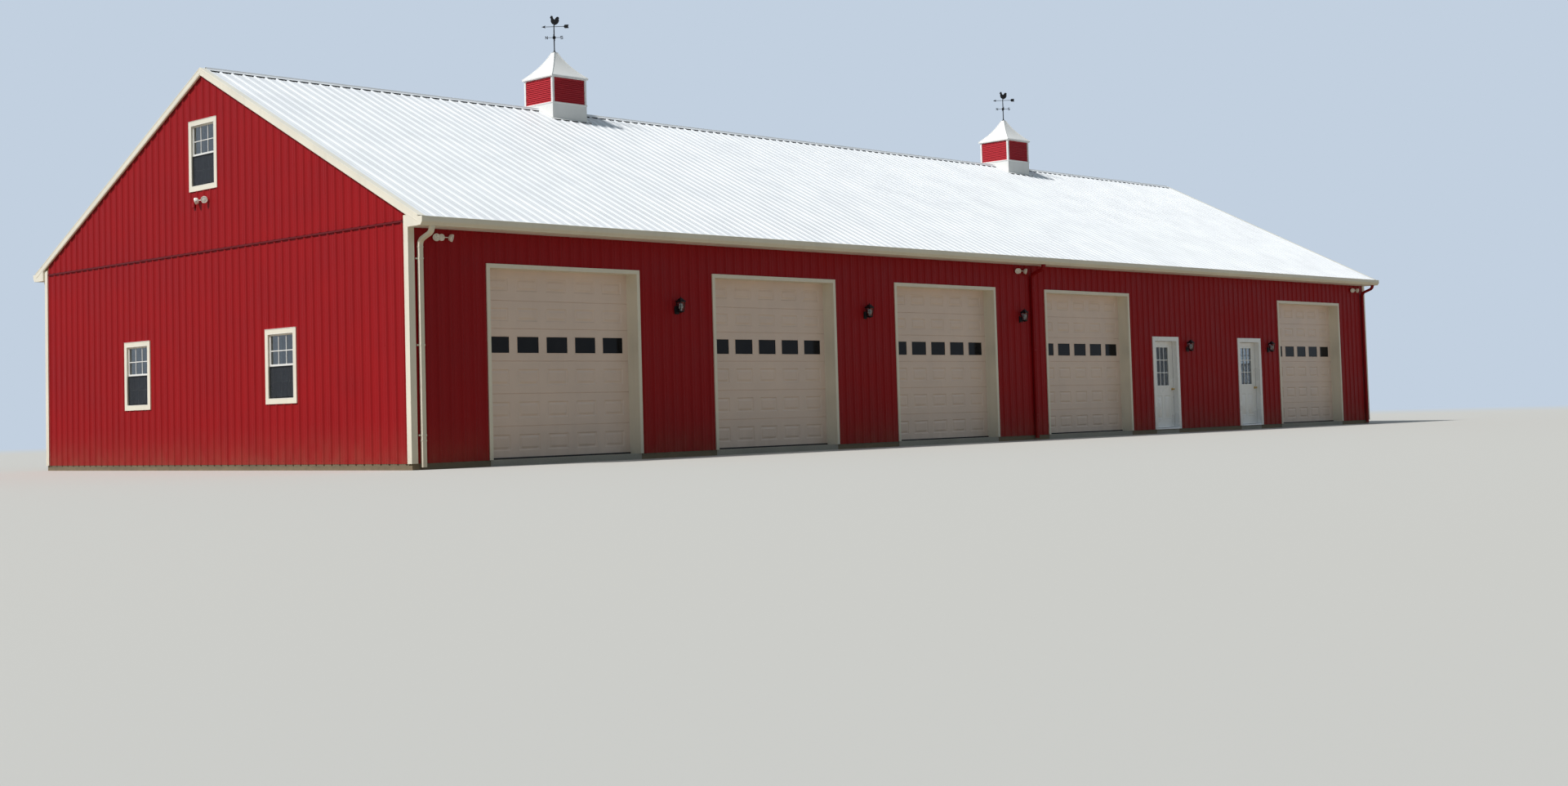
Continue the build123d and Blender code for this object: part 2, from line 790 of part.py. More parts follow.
for colour, places in downspout_colours:
    with BuildPart() as downspouts:
        for x, side in places:
            with BuildLine() as route:
                Polyline(*[(x, side * out, z) for out, z in downspout_route])
            with BuildSketch(Plane(origin=route.line @ 0, x_dir=(1, 0, 0), z_dir=(0, 0, -1))):
                Rectangle(downspout_width, downspout_depth)
            sweep(path=route.line, transition=Transition.RIGHT)
    downspouts.part.label = f"{colour}_downspouts"
    export_step(downspouts.part, f"parts/{colour}_downspouts.step")

# Overhead doorways: side and head trims that wrap from the wall's face into the opening
with BuildPart() as overhead_door_side_trims:
    with BuildSketch(Plane.XY.offset(floor_top)):
        for x in overhead_x:
            for side in (-1, 1):
                edge = x + side * overhead_clear_width / 2
                face_align = Align.MIN if side > 0 else Align.MAX
                with Locations((edge, -frame_y)):
                    Rectangle(
                        overhead_trim_width, trim_thickness, align=(face_align, Align.MAX)
                    )
                    Rectangle(
                        overhead_jamb_thickness, wall_thickness, align=(face_align, Align.MIN)
                    )
    extrude(amount=overhead_clear_height)
overhead_door_side_trims.part.label = "overhead_door_side_trims"
export_step(overhead_door_side_trims.part, "parts/overhead_door_side_trims.step")

with BuildPart() as overhead_door_head_trims:
    with BuildSketch(front_face.offset(-sheet_thickness)):
        with Locations(*[(x, floor_top + overhead_clear_height) for x in overhead_x]):
            Rectangle(
                overhead_trim_outer, overhead_trim_width, align=(Align.CENTER, Align.MIN)
            )
    extrude(amount=trim_thickness)
    with BuildSketch(front_face.offset(-sheet_thickness)):
        with Locations(*[(x, floor_top + overhead_clear_height) for x in overhead_x]):
            Rectangle(
                overhead_gap_width, overhead_jamb_thickness, align=(Align.CENTER, Align.MIN)
            )
    extrude(amount=-wall_thickness)
overhead_door_head_trims.part.label = "overhead_door_head_trims"
export_step(overhead_door_head_trims.part, "parts/overhead_door_head_trims.step")

# Overhead doors: sections jointed by grooves, one of them with a row of panes
overhead_leaf_face = front_face.offset(-sheet_thickness - wall_thickness)
overhead_leaf_width = overhead_clear_width + 2 * overhead_leaf_lap
overhead_joints = [
    floor_top + (i + 1) * overhead_section_height for i in range(overhead_tall_sections)
]
overhead_joints.append(overhead_joints[-1] + overhead_top_section_height)
pane_offsets = [
    (i - (overhead_pane_count - 1) / 2) * overhead_pane_pitch for i in range(overhead_pane_count)
]
panes = [(x + dx, floor_top + overhead_pane_middle) for x in overhead_x for dx in pane_offsets]
with BuildPart() as overhead_doors:
    with BuildSketch(overhead_leaf_face):
        with Locations(*[(x, floor_top) for x in overhead_x]):
            Rectangle(
                overhead_leaf_width,
                overhead_clear_height + overhead_leaf_lap,
                align=(Align.CENTER, Align.MIN),
            )
        with Locations(*panes):
            Rectangle(overhead_pane_width, overhead_pane_height, mode=Mode.SUBTRACT)
    extrude(amount=-overhead_leaf_thickness)
    with BuildSketch(overhead_leaf_face):
        for x in overhead_x:
            with Locations(*[(x, z) for z in overhead_joints]):
                Rectangle(overhead_leaf_width, section_groove)
    extrude(amount=-section_groove, mode=Mode.SUBTRACT)
overhead_doors.part.label = "overhead_doors"
export_step(overhead_doors.part, "parts/overhead_doors.step")

with BuildPart() as overhead_door_glass:
    glass_depth = (overhead_leaf_thickness - overhead_glass_thickness) / 2
    with BuildSketch(overhead_leaf_face.offset(-glass_depth)):
        with Locations(*panes):
            Rectangle(overhead_pane_width, overhead_pane_height)
    extrude(amount=-overhead_glass_thickness)
overhead_door_glass.part.label = "overhead_door_glass"
export_step(overhead_door_glass.part, "parts/overhead_door_glass.step")

# Entry doorways: jambs with stops and outer casings, heads and sills
entry_frame_depth = leaf_setback + leaf_thickness
stop_depth = leaf_setback - leaf_gap - entry_stop_depth


def depth_y(depth):
    """Y of a point that lies depth inside the flats of the front wall's sheets."""
    return -(wall_y - depth)


with BuildPart() as entry_door_jambs:
    with BuildSketch(Plane.XY.offset(floor_top)):
        for x in entry_x:
            for side in (-1, 1):
                edge = x + side * entry_clear_width / 2
                inward = Align.MIN if side > 0 else Align.MAX
                outward = Align.MAX if side > 0 else Align.MIN
                with Locations((edge, depth_y(-trim_out))):
                    Rectangle(
                        (entry_trim_outer - entry_clear_width) / 2,
                        trim_thickness,
                        align=(inward, Align.MIN),
                    )
                    Rectangle(
                        entry_jamb_thickness,
                        trim_out + entry_frame_depth,
                        align=(inward, Align.MIN),
                    )
                with Locations((edge, depth_y(stop_depth))):
                    Rectangle(entry_stop_width, entry_stop_depth, align=(outward, Align.MIN))
    extrude(amount=entry_clear_top - floor_top)
entry_door_jambs.part.label = "entry_door_jambs"
export_step(entry_door_jambs.part, "parts/entry_door_jambs.step")

with BuildPart() as entry_door_heads:
    heads = [(x, entry_clear_top) for x in entry_x]
    with BuildSketch(front_face.offset(trim_out)):
        with Locations(*heads):
            Rectangle(
                entry_trim_outer, entry_trim_top - entry_clear_top, align=(Align.CENTER, Align.MIN)
            )
    extrude(amount=-trim_thickness)
    with BuildSketch(front_face.offset(-sheet_thickness)):
        with Locations(*heads):
            Rectangle(entry_gap_width, entry_jamb_thickness, align=(Align.CENTER, Align.MIN))
    extrude(amount=sheet_thickness - entry_frame_depth)
entry_door_heads.part.label = "entry_door_heads"
export_step(entry_door_heads.part, "parts/entry_door_heads.step")

with BuildPart() as entry_door_sills:
    with BuildSketch(Plane.XY.offset(floor_top)):
        with Locations(*[(x, depth_y(stop_depth)) for x in entry_x]):
            Rectangle(entry_clear_width, trim_out + stop_depth, align=(Align.CENTER, Align.MAX))
            Rectangle(
                entry_clear_width - 2 * entry_stop_width,
                entry_frame_depth - stop_depth,
                align=(Align.CENTER, Align.MIN),
            )
    extrude(amount=sill_height)
entry_door_sills.part.label = "entry_door_sills"
export_step(entry_door_sills.part, "parts/entry_door_sills.step")

# Entry door leaves, hung on the left edge and opening inwards. A knob is made of tapered rings:
# start, length, first radius and last radius.
hinge_depth = entry_frame_depth + hinge_offset
hinge_middles = [
    leaf_bottom + rise
    for rise in (hinge_end_inset, leaf_height / 2, leaf_height - hinge_end_inset)
]
leaf_face = front_face.offset(-leaf_setback)
knob_neck_end = knob_reach - knob_radius
knob_rings = [
    (0, knob_rose_thickness, knob_rose_radius, knob_rose_radius),
    (knob_rose_thickness, knob_neck_end - knob_rose_thickness, knob_neck_radius, knob_neck_radius),
    (knob_neck_end, knob_radius / 2, knob_neck_radius, knob_radius),
    (knob_neck_end + knob_radius / 2, knob_radius / 2, knob_radius, knob_face_radius),
]
for x, side_name in zip(entry_x, ("left", "right")):
    with BuildPart() as entry_door:
        with BuildSketch(leaf_face):
            with Locations((x, leaf_bottom)):
                Rectangle(leaf_width, leaf_height, align=(Align.CENTER, Align.MIN))
        extrude(amount=-leaf_thickness)
        for face, out in ((leaf_face, 1), (leaf_face.offset(-leaf_thickness), -1)):
            with BuildSketch(face):
                with Locations((x, floor_top + leaf_glass_middle)):
                    Rectangle(
                        leaf_glass_width + 2 * leaf_glass_frame,
                        leaf_glass_height + 2 * leaf_glass_frame,
                    )
            extrude(amount=out * leaf_glass_frame_proud)
        with BuildSketch(leaf_face.offset(leaf_glass_frame_proud)):
            with Locations((x, floor_top + leaf_glass_middle)):
                Rectangle(leaf_glass_width, leaf_glass_height)
        extrude(
            amount=-leaf_thickness - 2 * leaf_glass_frame_proud, mode=Mode.SUBTRACT
        )
        with BuildSketch(leaf_face):
            with Locations((x, floor_top + leaf_panel_middle)):
                with GridLocations(leaf_panel_spacing, 0, 2, 1):
                    Rectangle(leaf_panel_width, leaf_panel_height)
        extrude(amount=-leaf_panel_depth, mode=Mode.SUBTRACT)
    entry_door.part.label = f"{side_name}_entry_door"
    export_step(entry_door.part, f"parts/{side_name}_entry_door.step")

    with BuildPart() as entry_door_glass:
        with BuildSketch(leaf_face.offset((leaf_glass_thickness - leaf_thickness) / 2)):
            with Locations((x, floor_top + leaf_glass_middle)):
                Rectangle(leaf_glass_width, leaf_glass_height)
        extrude(amount=-leaf_glass_thickness)
    entry_door_glass.part.label = f"{side_name}_entry_door_glass"
    export_step(entry_door_glass.part, f"parts/{side_name}_entry_door_glass.step")

    # Knobs, and the upper knuckles and plates of the hinges
    knob_x = x + leaf_width / 2 - knob_backset
    pin_x = x - leaf_width / 2 - leaf_gap / 2
    with BuildPart() as entry_door_hardware:
        for depth, out in ((leaf_setback, -1), (entry_frame_depth, 1)):
            knob_plane = Plane(
                origin=(knob_x, depth_y(depth), floor_top + knob_height),
                x_dir=(1, 0, 0),
                z_dir=(0, out, 0),
            )
            for start, length, low, high in knob_rings:
                with BuildSketch(knob_plane.offset(start)):
                    RegularPolygon(low, round_sides)
                extrude(amount=length, taper=side_taper(low, high, length, round_sides))
        for middle in hinge_middles:
            with BuildSketch(Plane.XY.offset(middle + hinge_seat_gap)):
                with Locations((pin_x, depth_y(hinge_depth))):
                    RegularPolygon(hinge_radius, round_sides)
                with Locations((pin_x, depth_y(entry_frame_depth))):
                    Rectangle(
                        hinge_plate_width, hinge_plate_thickness, align=(Align.MIN, Align.MIN)
                    )
            extrude(amount=hinge_length / 2 - hinge_seat_gap)
    entry_door_hardware.part.label = f"{side_name}_entry_door_hardware"
    export_step(entry_door_hardware.part, f"parts/{side_name}_entry_door_hardware.step")

# Lower knuckles of the hinges, on plates screwed to the jambs' inner edges
with BuildPart() as entry_door_hinges:
    for x in entry_x:
        pin_x = x - leaf_width / 2 - leaf_gap / 2
        for middle in hinge_middles:
            with BuildSketch(Plane.XY.offset(middle - hinge_length / 2)):
                with Locations((pin_x, depth_y(hinge_depth))):
                    RegularPolygon(hinge_radius, round_sides)
                with Locations((pin_x, depth_y(entry_frame_depth))):
                    Rectangle(
                        hinge_plate_width, hinge_plate_thickness, align=(Align.MAX, Align.MIN)
                    )
            extrude(amount=hinge_length / 2)
entry_door_hinges.part.label = "entry_door_hinges"
export_step(entry_door_hinges.part, "parts/entry_door_hinges.step")

# Windows: a casing over the wall sheets with a liner through the wall, two sashes that pass each
# other, their panes, and a screen outside the lower sash
sash_width = window_width - 2 * window_fit
sash_height = (window_height + sash_overlap) / 2 - window_fit
pane_width = sash_width - 2 * sash_stile
pane_height = sash_height - 2 * sash_stile
upper_sash_rise = (window_height / 2 - window_fit) - sash_height / 2
lower_sash_setback = sash_setback + sash_thickness + sash_gap
sash_rows = [(upper_sash_rise, sash_setback), (-upper_sash_rise, lower_sash_setback)]

with BuildPart() as window_frames:
    for face, places in window_walls:
        with BuildSketch(face.offset(trim_out)):
            with Locations(*places):
                Rectangle(casing_width, casing_height)
                Rectangle(window_width, window_height, mode=Mode.SUBTRACT)
        extrude(amount=-trim_thickness)
        with BuildSketch(face.offset(-sheet_thickness)):
            with Locations(*places):
                Rectangle(window_gap_width, window_gap_height)
                Rectangle(window_width, window_height, mode=Mode.SUBTRACT)
        extrude(amount=-wall_thickness)
window_frames.part.label = "window_frames"
export_step(window_frames.part, "parts/window_frames.step")

with BuildPart() as window_sashes:
    for face, places in window_walls:
        for rise, setback in sash_rows:
            with BuildSketch(face.offset(-setback)):
                with Locations(*[(x, z + rise) for x, z in places]):
                    Rectangle(sash_width, sash_height)
                    Rectangle(pane_width, pane_height, mode=Mode.SUBTRACT)
            extrude(amount=-sash_thickness)
window_sashes.part.label = "window_sashes"
export_step(window_sashes.part, "parts/window_sashes.step")

with BuildPart() as window_glass:
    for face, places in window_walls:
        for rise, setback in sash_rows:
            glass_setback = setback + (sash_thickness - window_glass_thickness) / 2
            with BuildSketch(face.offset(-glass_setback)):
                with Locations(*[(x, z + rise) for x, z in places]):
                    Rectangle(pane_width, pane_height)
            extrude(amount=-window_glass_thickness)
window_glass.part.label = "window_glass"
export_step(window_glass.part, "parts/window_glass.step")

with BuildPart() as window_screens:
    screen_height = window_height / 2 - window_fit
    for face, places in window_walls:
        with BuildSketch(face.offset(-sash_setback + screen_thickness)):
            with Locations(*[(x, z - screen_height / 2 - window_fit) for x, z in places]):
                Rectangle(sash_width, screen_height)
        extrude(amount=-screen_thickness)
window_screens.part.label = "window_screens"
export_step(window_screens.part, "parts/window_screens.step")

# Lanterns: a wall plate, an arm, a tapered cage between a base and a hipped cap
cage_base_rise = lantern_base_height - lantern_plate_height / 2
cage_lean = cage_top_half - cage_base_half
cage_taper = side_taper(cage_top_half, cage_base_half, cage_height)
cap_taper = side_taper(lantern_cap_size / 2, lantern_cap_top / 2, lantern_cap_height)
finial_taper = side_taper(finial_width / 2, finial_tip / 2, finial_height)
foot_arm_length = lantern_reach - cage_base_half - fixture_plate_thickness
head_arm_length = lantern_reach - cage_top_half - cage_bar / 2 - fixture_plate_thickness
with BuildPart() as wall_lanterns:
    for x, z in lanterns:
        axis_y = depth_y(-lantern_reach)
        cage_foot = z + cage_base_rise
        cage_head = cage_foot + cage_height
        with BuildSketch(front_face.offset(-sheet_thickness)):
            with Locations((x, z)):
                Rectangle(lantern_plate_width, lantern_plate_height)
        extrude(amount=fixture_plate_thickness)
        for arm_foot, reach in (
            (cage_foot - lantern_base_height, foot_arm_length),
            (cage_head - lantern_arm, head_arm_length),
        ):
            with BuildSketch(front_face.offset(fixture_plate_thickness - sheet_thickness)):
                with Locations((x, arm_foot)):
                    Rectangle(lantern_arm, lantern_arm, align=(Align.CENTER, Align.MIN))
            extrude(amount=reach)
        with BuildSketch(Plane.XY.offset(cage_foot - lantern_base_height)):
            with Locations((x, axis_y)):
                Rectangle(lantern_base_size, lantern_base_size)
        extrude(amount=lantern_base_height)
        for dx, dy in ((-1, -1), (-1, 1), (1, -1), (1, 1)):
            lean = Vector(dx * cage_lean, dy * cage_lean, cage_height)
            with BuildSketch(Plane.XY.offset(cage_foot)):
                with Locations((x + dx * cage_base_half, axis_y + dy * cage_base_half)):
                    Rectangle(cage_bar, cage_bar)
            extrude(amount=lean.length, dir=lean)
        with BuildSketch(Plane.XY.offset(cage_head)):
            with Locations((x, axis_y)):
                Rectangle(lantern_cap_size, lantern_cap_size)
        extrude(amount=lantern_cap_height, taper=cap_taper)
        with BuildSketch(Plane.XY.offset(cage_head + lantern_cap_height)):
            with Locations((x, axis_y)):
                Rectangle(finial_width, finial_width)
        extrude(amount=finial_height, taper=finial_taper)
wall_lanterns.part.label = "wall_lanterns"
export_step(wall_lanterns.part, "parts/wall_lanterns.step")

with BuildPart() as lantern_glass:
    foot_size = 2 * cage_base_half - cage_bar - 2 * window_fit
    for x, z in lanterns:
        with BuildSketch(Plane.XY.offset(z + cage_base_rise)):
            with Locations((x, depth_y(-lantern_reach))):
                Rectangle(foot_size, foot_size)
        extrude(amount=cage_height, taper=-cage_taper)
lantern_glass.part.label = "lantern_glass"
export_step(lantern_glass.part, "parts/lantern_glass.step")

# Twin floodlights: an eight-sided plate, a cross bar and two flared heads turned out and down
flood_taper = side_taper(flood_neck_radius, flood_head_radius, flood_head_length, round_sides)
with BuildPart() as floodlights:
    for face, places in flood_walls:
        with BuildSketch(face.offset(-sheet_thickness)):
            with Locations(*places):
                RegularPolygon(flood_plate_radius, round_sides)
        extrude(amount=fixture_plate_thickness)
        with BuildSketch(face.offset(fixture_plate_thickness - sheet_thickness)):
            with Locations(*places):
                Rectangle(flood_head_spread, flood_bar)
        extrude(amount=flood_bar)
        for x, z in places:
            for side in (-1, 1):
                seat = Location(
                    (x + side * flood_head_spread / 2, z, flood_head_seat),
                    (flood_tilt, side * flood_splay, 0),
                )
                head = Plane(face.location * seat)
                with BuildSketch(head):
                    RegularPolygon(flood_neck_radius, round_sides)
                extrude(amount=flood_head_length, taper=flood_taper)
                with BuildSketch(head.offset(flood_head_length)):
                    RegularPolygon(flood_head_radius, round_sides)
                    RegularPolygon(
                        flood_head_radius - flood_rim, round_sides, mode=Mode.SUBTRACT
                    )
                extrude(amount=flood_rim)
floodlights.part.label = "floodlights"
export_step(floodlights.part, "parts/floodlights.step")

with BuildPart() as gable_junction_boxes:
    for face in (left_face, right_face):
        with BuildSketch(face.offset(-sheet_thickness)):
            with Locations(junction_box):
                Rectangle(junction_box_size, junction_box_size)
        extrude(amount=sheet_thickness + junction_box_depth)
gable_junction_boxes.part.label = "gable_junction_boxes"
export_step(gable_junction_boxes.part, "parts/gable_junction_boxes.step")

# Cupolas. Their bases are square tubes notched over the ridge, so that they stand on the ribs.
notch_half = cupola_width
with BuildPart() as cupola_bases:
    with BuildSketch(Plane.XY.offset(roof_z(notch_half))):
        with Locations(*cupola_places):
            Rectangle(cupola_width, cupola_width)
            Rectangle(
                cupola_width - 2 * cupola_board, cupola_width - 2 * cupola_board, mode=Mode.SUBTRACT
            )
    extrude(amount=cupola_base_top - roof_z(notch_half))
    with BuildSketch(Plane.XY.offset(cupola_base_top - cupola_board)):
        with Locations(*cupola_places):
            Rectangle(cupola_width + 2 * cupola_ledge, cupola_width + 2 * cupola_ledge)
            Rectangle(
                cupola_width - 2 * cupola_board, cupola_width - 2 * cupola_board, mode=Mode.SUBTRACT
            )
    extrude(amount=cupola_board)
    with BuildSketch(Plane.YZ.offset(-wall_x)):
        Polygon(
            (-notch_half, roof_z(2 * notch_half)),
            (notch_half, roof_z(2 * notch_half)),
            (notch_half, roof_z(notch_half, -sheet_top)),
            (0, roof_z(0, -sheet_top)),
            (-notch_half, roof_z(notch_half, -sheet_top)),
            align=None,
        )
    extrude(amount=2 * wall_x, mode=Mode.SUBTRACT)
cupola_bases.part.label = "cupola_bases"
export_step(cupola_bases.part, "parts/cupola_bases.step")

# Corner posts joined by a rail at the foot and another at the head
rail_hole = cupola_width - cupola_post_width
post_spacing = cupola_width - cupola_post_width
with BuildPart() as cupola_frames:
    for level in (cupola_base_top, cupola_frame_top - cupola_rail_height):
        with BuildSketch(Plane.XY.offset(level)):
            with Locations(*cupola_places):
                Rectangle(cupola_width, cupola_width)
                Rectangle(rail_hole, rail_hole, mode=Mode.SUBTRACT)
        extrude(amount=cupola_rail_height)
    with BuildSketch(Plane.XY.offset(cupola_base_top)):
        with Locations(*cupola_places):
            with GridLocations(post_spacing, post_spacing, 2, 2):
                Rectangle(cupola_post_width, cupola_post_width)
    extrude(amount=cupola_frame_height)
cupola_frames.part.label = "cupola_frames"
export_step(cupola_frames.part, "parts/cupola_frames.step")

louvre_length = cupola_width - 2 * cupola_post_width
louvre_rise = (cupola_frame_height - 2 * cupola_rail_height) / louvre_count
louvre_foot = cupola_base_top + cupola_rail_height + louvre_rise / 2
louvre_levels = [(0, 0, louvre_foot + i * louvre_rise) for i in range(louvre_count)]
with BuildPart() as cupola_louvres:
    with Locations(*cupola_places):
        with PolarLocations(post_spacing / 2, 4):
            with Locations(*louvre_levels):
                Box(louvre_depth, louvre_length, louvre_thickness, rotation=(0, louvre_tilt, 0))
cupola_louvres.part.label = "cupola_louvres"
export_step(cupola_louvres.part, "parts/cupola_louvres.step")

# A roof is one hollow-sided profile run both ways, so that its hips are the mitres.
roof_half = cupola_width / 2 + cupola_roof_overhang
drip_top = cupola_frame_top + cupola_drip_height
cap_half = cupola_cap_width / 2
sag_length = math.hypot(roof_half - cap_half, cupola_roof_height)
sag_x = (roof_half + cap_half) / 2 - cupola_roof_sag * cupola_roof_height / sag_length
sag_z = drip_top + cupola_roof_height / 2
sag_z -= cupola_roof_sag * (roof_half - cap_half) / sag_length
with BuildPart() as cupola_roof:
    for plane, mode in ((Plane.XZ, Mode.ADD), (Plane.YZ, Mode.INTERSECT)):
        with BuildSketch(plane):
            with BuildLine():
                Polyline(
                    (-roof_half, drip_top),
                    (-roof_half, cupola_frame_top),
                    (roof_half, cupola_frame_top),
                    (roof_half, drip_top),
                )
                ThreePointArc((roof_half, drip_top), (sag_x, sag_z), (cap_half, cupola_apex))
                Line((cap_half, cupola_apex), (-cap_half, cupola_apex))
                ThreePointArc((-cap_half, cupola_apex), (-sag_x, sag_z), (-roof_half, drip_top))
            make_face()
        extrude(amount=roof_half, both=True, mode=mode)
with BuildPart() as cupola_roofs:
    with Locations(*cupola_places):
        add(cupola_roof.part)
cupola_roofs.part.label = "cupola_roofs"
export_step(cupola_roofs.part, "parts/cupola_roofs.step")

# Masts: a flared foot, four direction arms from a hub, and a pin that the vane turns on
mast_shoulder = cupola_apex + mast_height
hub_level = cupola_apex + arm_level
collar_taper = side_taper(mast_collar_radius, mast_radius, mast_collar_height, round_sides)
with BuildPart() as vane_mast:
    with BuildSketch(Plane.XY.offset(cupola_apex)):
        RegularPolygon(mast_collar_radius, round_sides)
    extrude(amount=mast_collar_height, taper=collar_taper)
    with BuildSketch(Plane.XY.offset(cupola_apex)):
        RegularPolygon(mast_radius, round_sides)
    extrude(amount=mast_height)
    with BuildSketch(Plane.XY.offset(hub_level - hub_height / 2)):
        RegularPolygon(hub_radius, round_sides)
    extrude(amount=hub_height)
    with BuildSketch(Plane.XY.offset(mast_shoulder)):
        Circle(pin_radius)
    extrude(amount=pin_length)
    for turn in range(4):
        heading = math.radians(arm_heading + turn * 90)
        arm = Plane(origin=(0, 0, hub_level), z_dir=(math.cos(heading), math.sin(heading), 0))
        with BuildSketch(arm):
            Rectangle(2 * arm_radius, 2 * arm_radius)
        extrude(amount=arm_length)
        with BuildSketch(arm.offset(arm_length)):
            RegularPolygon(arm_knob_radius, round_sides)
        extrude(amount=arm_knob_length)
with BuildPart() as vane_masts:
    with Locations(*cupola_places):
        add(vane_mast.part)
vane_masts.part.label = "vane_masts"
export_step(vane_masts.part, "parts/vane_masts.step")

# Weathervanes: an arrow and a rooster on a sleeve whose blind bore turns on the mast's pin
sleeve_foot = mast_shoulder + vane_seat_gap
bore_top = mast_shoulder + pin_length + vane_seat_gap
sleeve_top = bore_top + sleeve_cap
arrow_z = mast_shoulder + arrow_level
rooster_foot = sleeve_top - sleeve_cap / 2


def on_rooster(along, up):
    """Point of the rooster's outline, as shares of its length and height, head at x = 0."""
    return (rooster_length * (0.42 - along), rooster_foot + rooster_height * up)


for x, side_name in zip(cupola_x, ("left", "right")):
    with BuildPart() as weathervane:
        with BuildSketch(Plane.XY.offset(sleeve_foot)):
            RegularPolygon(sleeve_radius, round_sides)
        extrude(amount=sleeve_top - sleeve_foot)
        with BuildSketch(Plane.YZ.offset(-arrow_fin_reach + fin_length / 2)):
            with Locations((0, arrow_z)):
                Rectangle(2 * arrow_radius, 2 * arrow_radius)
        extrude(amount=arrow_point_reach + arrow_fin_reach - fin_length / 2 - point_length / 2)
        with BuildSketch(Plane.XZ):
            Polygon(
                (arrow_point_reach, arrow_z),
                (arrow_point_reach - point_length, arrow_z + point_height / 2),
                (arrow_point_reach - point_length * 0.75, arrow_z),
                (arrow_point_reach - point_length, arrow_z - point_height / 2),
                align=None,
            )
            Polygon(
                (-arrow_fin_reach, arrow_z + fin_height / 2),
                (-arrow_fin_reach + fin_length * 0.75, arrow_z + fin_height / 2),
                (-arrow_fin_reach + fin_length, arrow_z),
                (-arrow_fin_reach + fin_length * 0.75, arrow_z - fin_height / 2),
                (-arrow_fin_reach, arrow_z - fin_height / 2),
                (-arrow_fin_reach + fin_length * 0.2, arrow_z),
                align=None,
            )
            Polygon(
                on_rooster(0.39, 0.00),
                on_rooster(0.36, 0.09),
                on_rooster(0.23, 0.22),
                on_rooster(0.14, 0.40),
                on_rooster(0.13, 0.60),
                on_rooster(0.08, 0.70),
                on_rooster(0.09, 0.76),
                on_rooster(0.00, 0.80),
                on_rooster(0.08, 0.86),
                on_rooster(0.10, 0.98),
                on_rooster(0.16, 0.91),
                on_rooster(0.20, 1.00),
                on_rooster(0.25, 0.90),
                on_rooster(0.30, 0.92),
                on_rooster(0.30, 0.78),
                on_rooster(0.37, 0.70),
                on_rooster(0.46, 0.62),
                on_rooster(0.57, 0.64),
                on_rooster(0.62, 0.74),
                on_rooster(0.70, 0.89),
                on_rooster(0.82, 0.97),
                on_rooster(0.94, 0.93),
                on_rooster(1.00, 0.78),
                on_rooster(0.93, 0.62),
                on_rooster(0.96, 0.50),
                on_rooster(0.86, 0.30),
                on_rooster(0.72, 0.16),
                on_rooster(0.55, 0.09),
                on_rooster(0.51, 0.00),
                align=None,
            )
        extrude(amount=vane_plate_thickness / 2, both=True)
        with BuildSketch(Plane.XY.offset(sleeve_foot)):
            Circle(pin_radius + pin_clearance)
        extrude(amount=bore_top - sleeve_foot, mode=Mode.SUBTRACT)
    with BuildPart() as turned_weathervane:
        with Locations(Location((x, 0, 0), (0, 0, vane_heading))):
            add(weathervane.part)
    turned_weathervane.part.label = f"{side_name}_weathervane"
    export_step(turned_weathervane.part, f"parts/{side_name}_weathervane.step")
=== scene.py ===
"""Dresses the packed shop building: finer sheets, doors and fittings, a finish for every surface, and a stage."""

import json
import math

import bpy
import numpy
from bpy.props import FloatProperty, FloatVectorProperty, IntProperty, PointerProperty
from mathutils import Matrix, Vector


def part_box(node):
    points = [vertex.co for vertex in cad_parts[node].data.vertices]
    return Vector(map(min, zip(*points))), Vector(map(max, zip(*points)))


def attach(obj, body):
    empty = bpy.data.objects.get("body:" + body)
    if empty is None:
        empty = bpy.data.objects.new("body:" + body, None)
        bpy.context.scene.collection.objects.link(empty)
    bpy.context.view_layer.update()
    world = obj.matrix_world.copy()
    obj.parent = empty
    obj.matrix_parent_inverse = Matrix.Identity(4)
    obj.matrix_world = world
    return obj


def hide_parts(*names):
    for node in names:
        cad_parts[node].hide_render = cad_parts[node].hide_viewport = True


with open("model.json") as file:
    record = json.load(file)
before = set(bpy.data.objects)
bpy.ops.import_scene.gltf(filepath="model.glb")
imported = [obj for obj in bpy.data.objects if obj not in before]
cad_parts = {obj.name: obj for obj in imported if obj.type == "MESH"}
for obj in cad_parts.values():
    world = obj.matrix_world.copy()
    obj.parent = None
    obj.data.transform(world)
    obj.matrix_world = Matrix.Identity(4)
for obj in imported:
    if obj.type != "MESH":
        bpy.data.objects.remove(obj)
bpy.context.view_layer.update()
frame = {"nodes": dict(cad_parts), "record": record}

bl_info = {
    "name": "Shop building dressing",
    "version": (1, 0, 0),
    "blender": (4, 5, 0),
    "location": "3D View > Sidebar > Shop",
    "description": "Adds sheets, doors, fittings, finishes and a stage to the shop building",
    "category": "Add Mesh",
}

slot_of = {part["node"]: part["material_slot"] for part in frame["record"]["subparts"]}

# Nodes whose finish in the photograph isn't that of their slot
own_finishes = {
    "entry_door_jambs": "white_door",
    "entry_door_heads": "white_door",
    "left_entry_door_glass": "clear_glass",
    "right_entry_door_glass": "clear_glass",
}

# Places that the frame gives
floor_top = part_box("floor_slab")[1][2]
sheet_run, front_line, soffit_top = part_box("front_siding")[1]
back_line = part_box("back_siding")[0][1]
gable_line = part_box("gable_walls")[1][0]
gable_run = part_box("gable_siding")[1][1]
roof_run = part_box("front_roof_sheet")[1][0]
leaf_low, leaf_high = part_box("overhead_doors")
band_low, band_high = [corner[2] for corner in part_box("gable_band_trims")]
trim_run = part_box("corner_trims")[1]
gutter_low, gutter_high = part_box("gutters")
cap_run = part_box("ridge_cap")[1][0]
rake_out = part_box("front_rake_trims")[1][0]
louvre_low, louvre_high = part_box("cupola_louvres")
cupola_base_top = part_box("cupola_bases")[1][2]
cupola_roof_low, cupola_roof_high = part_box("cupola_roofs")
mast_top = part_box("vane_masts")[1][2]

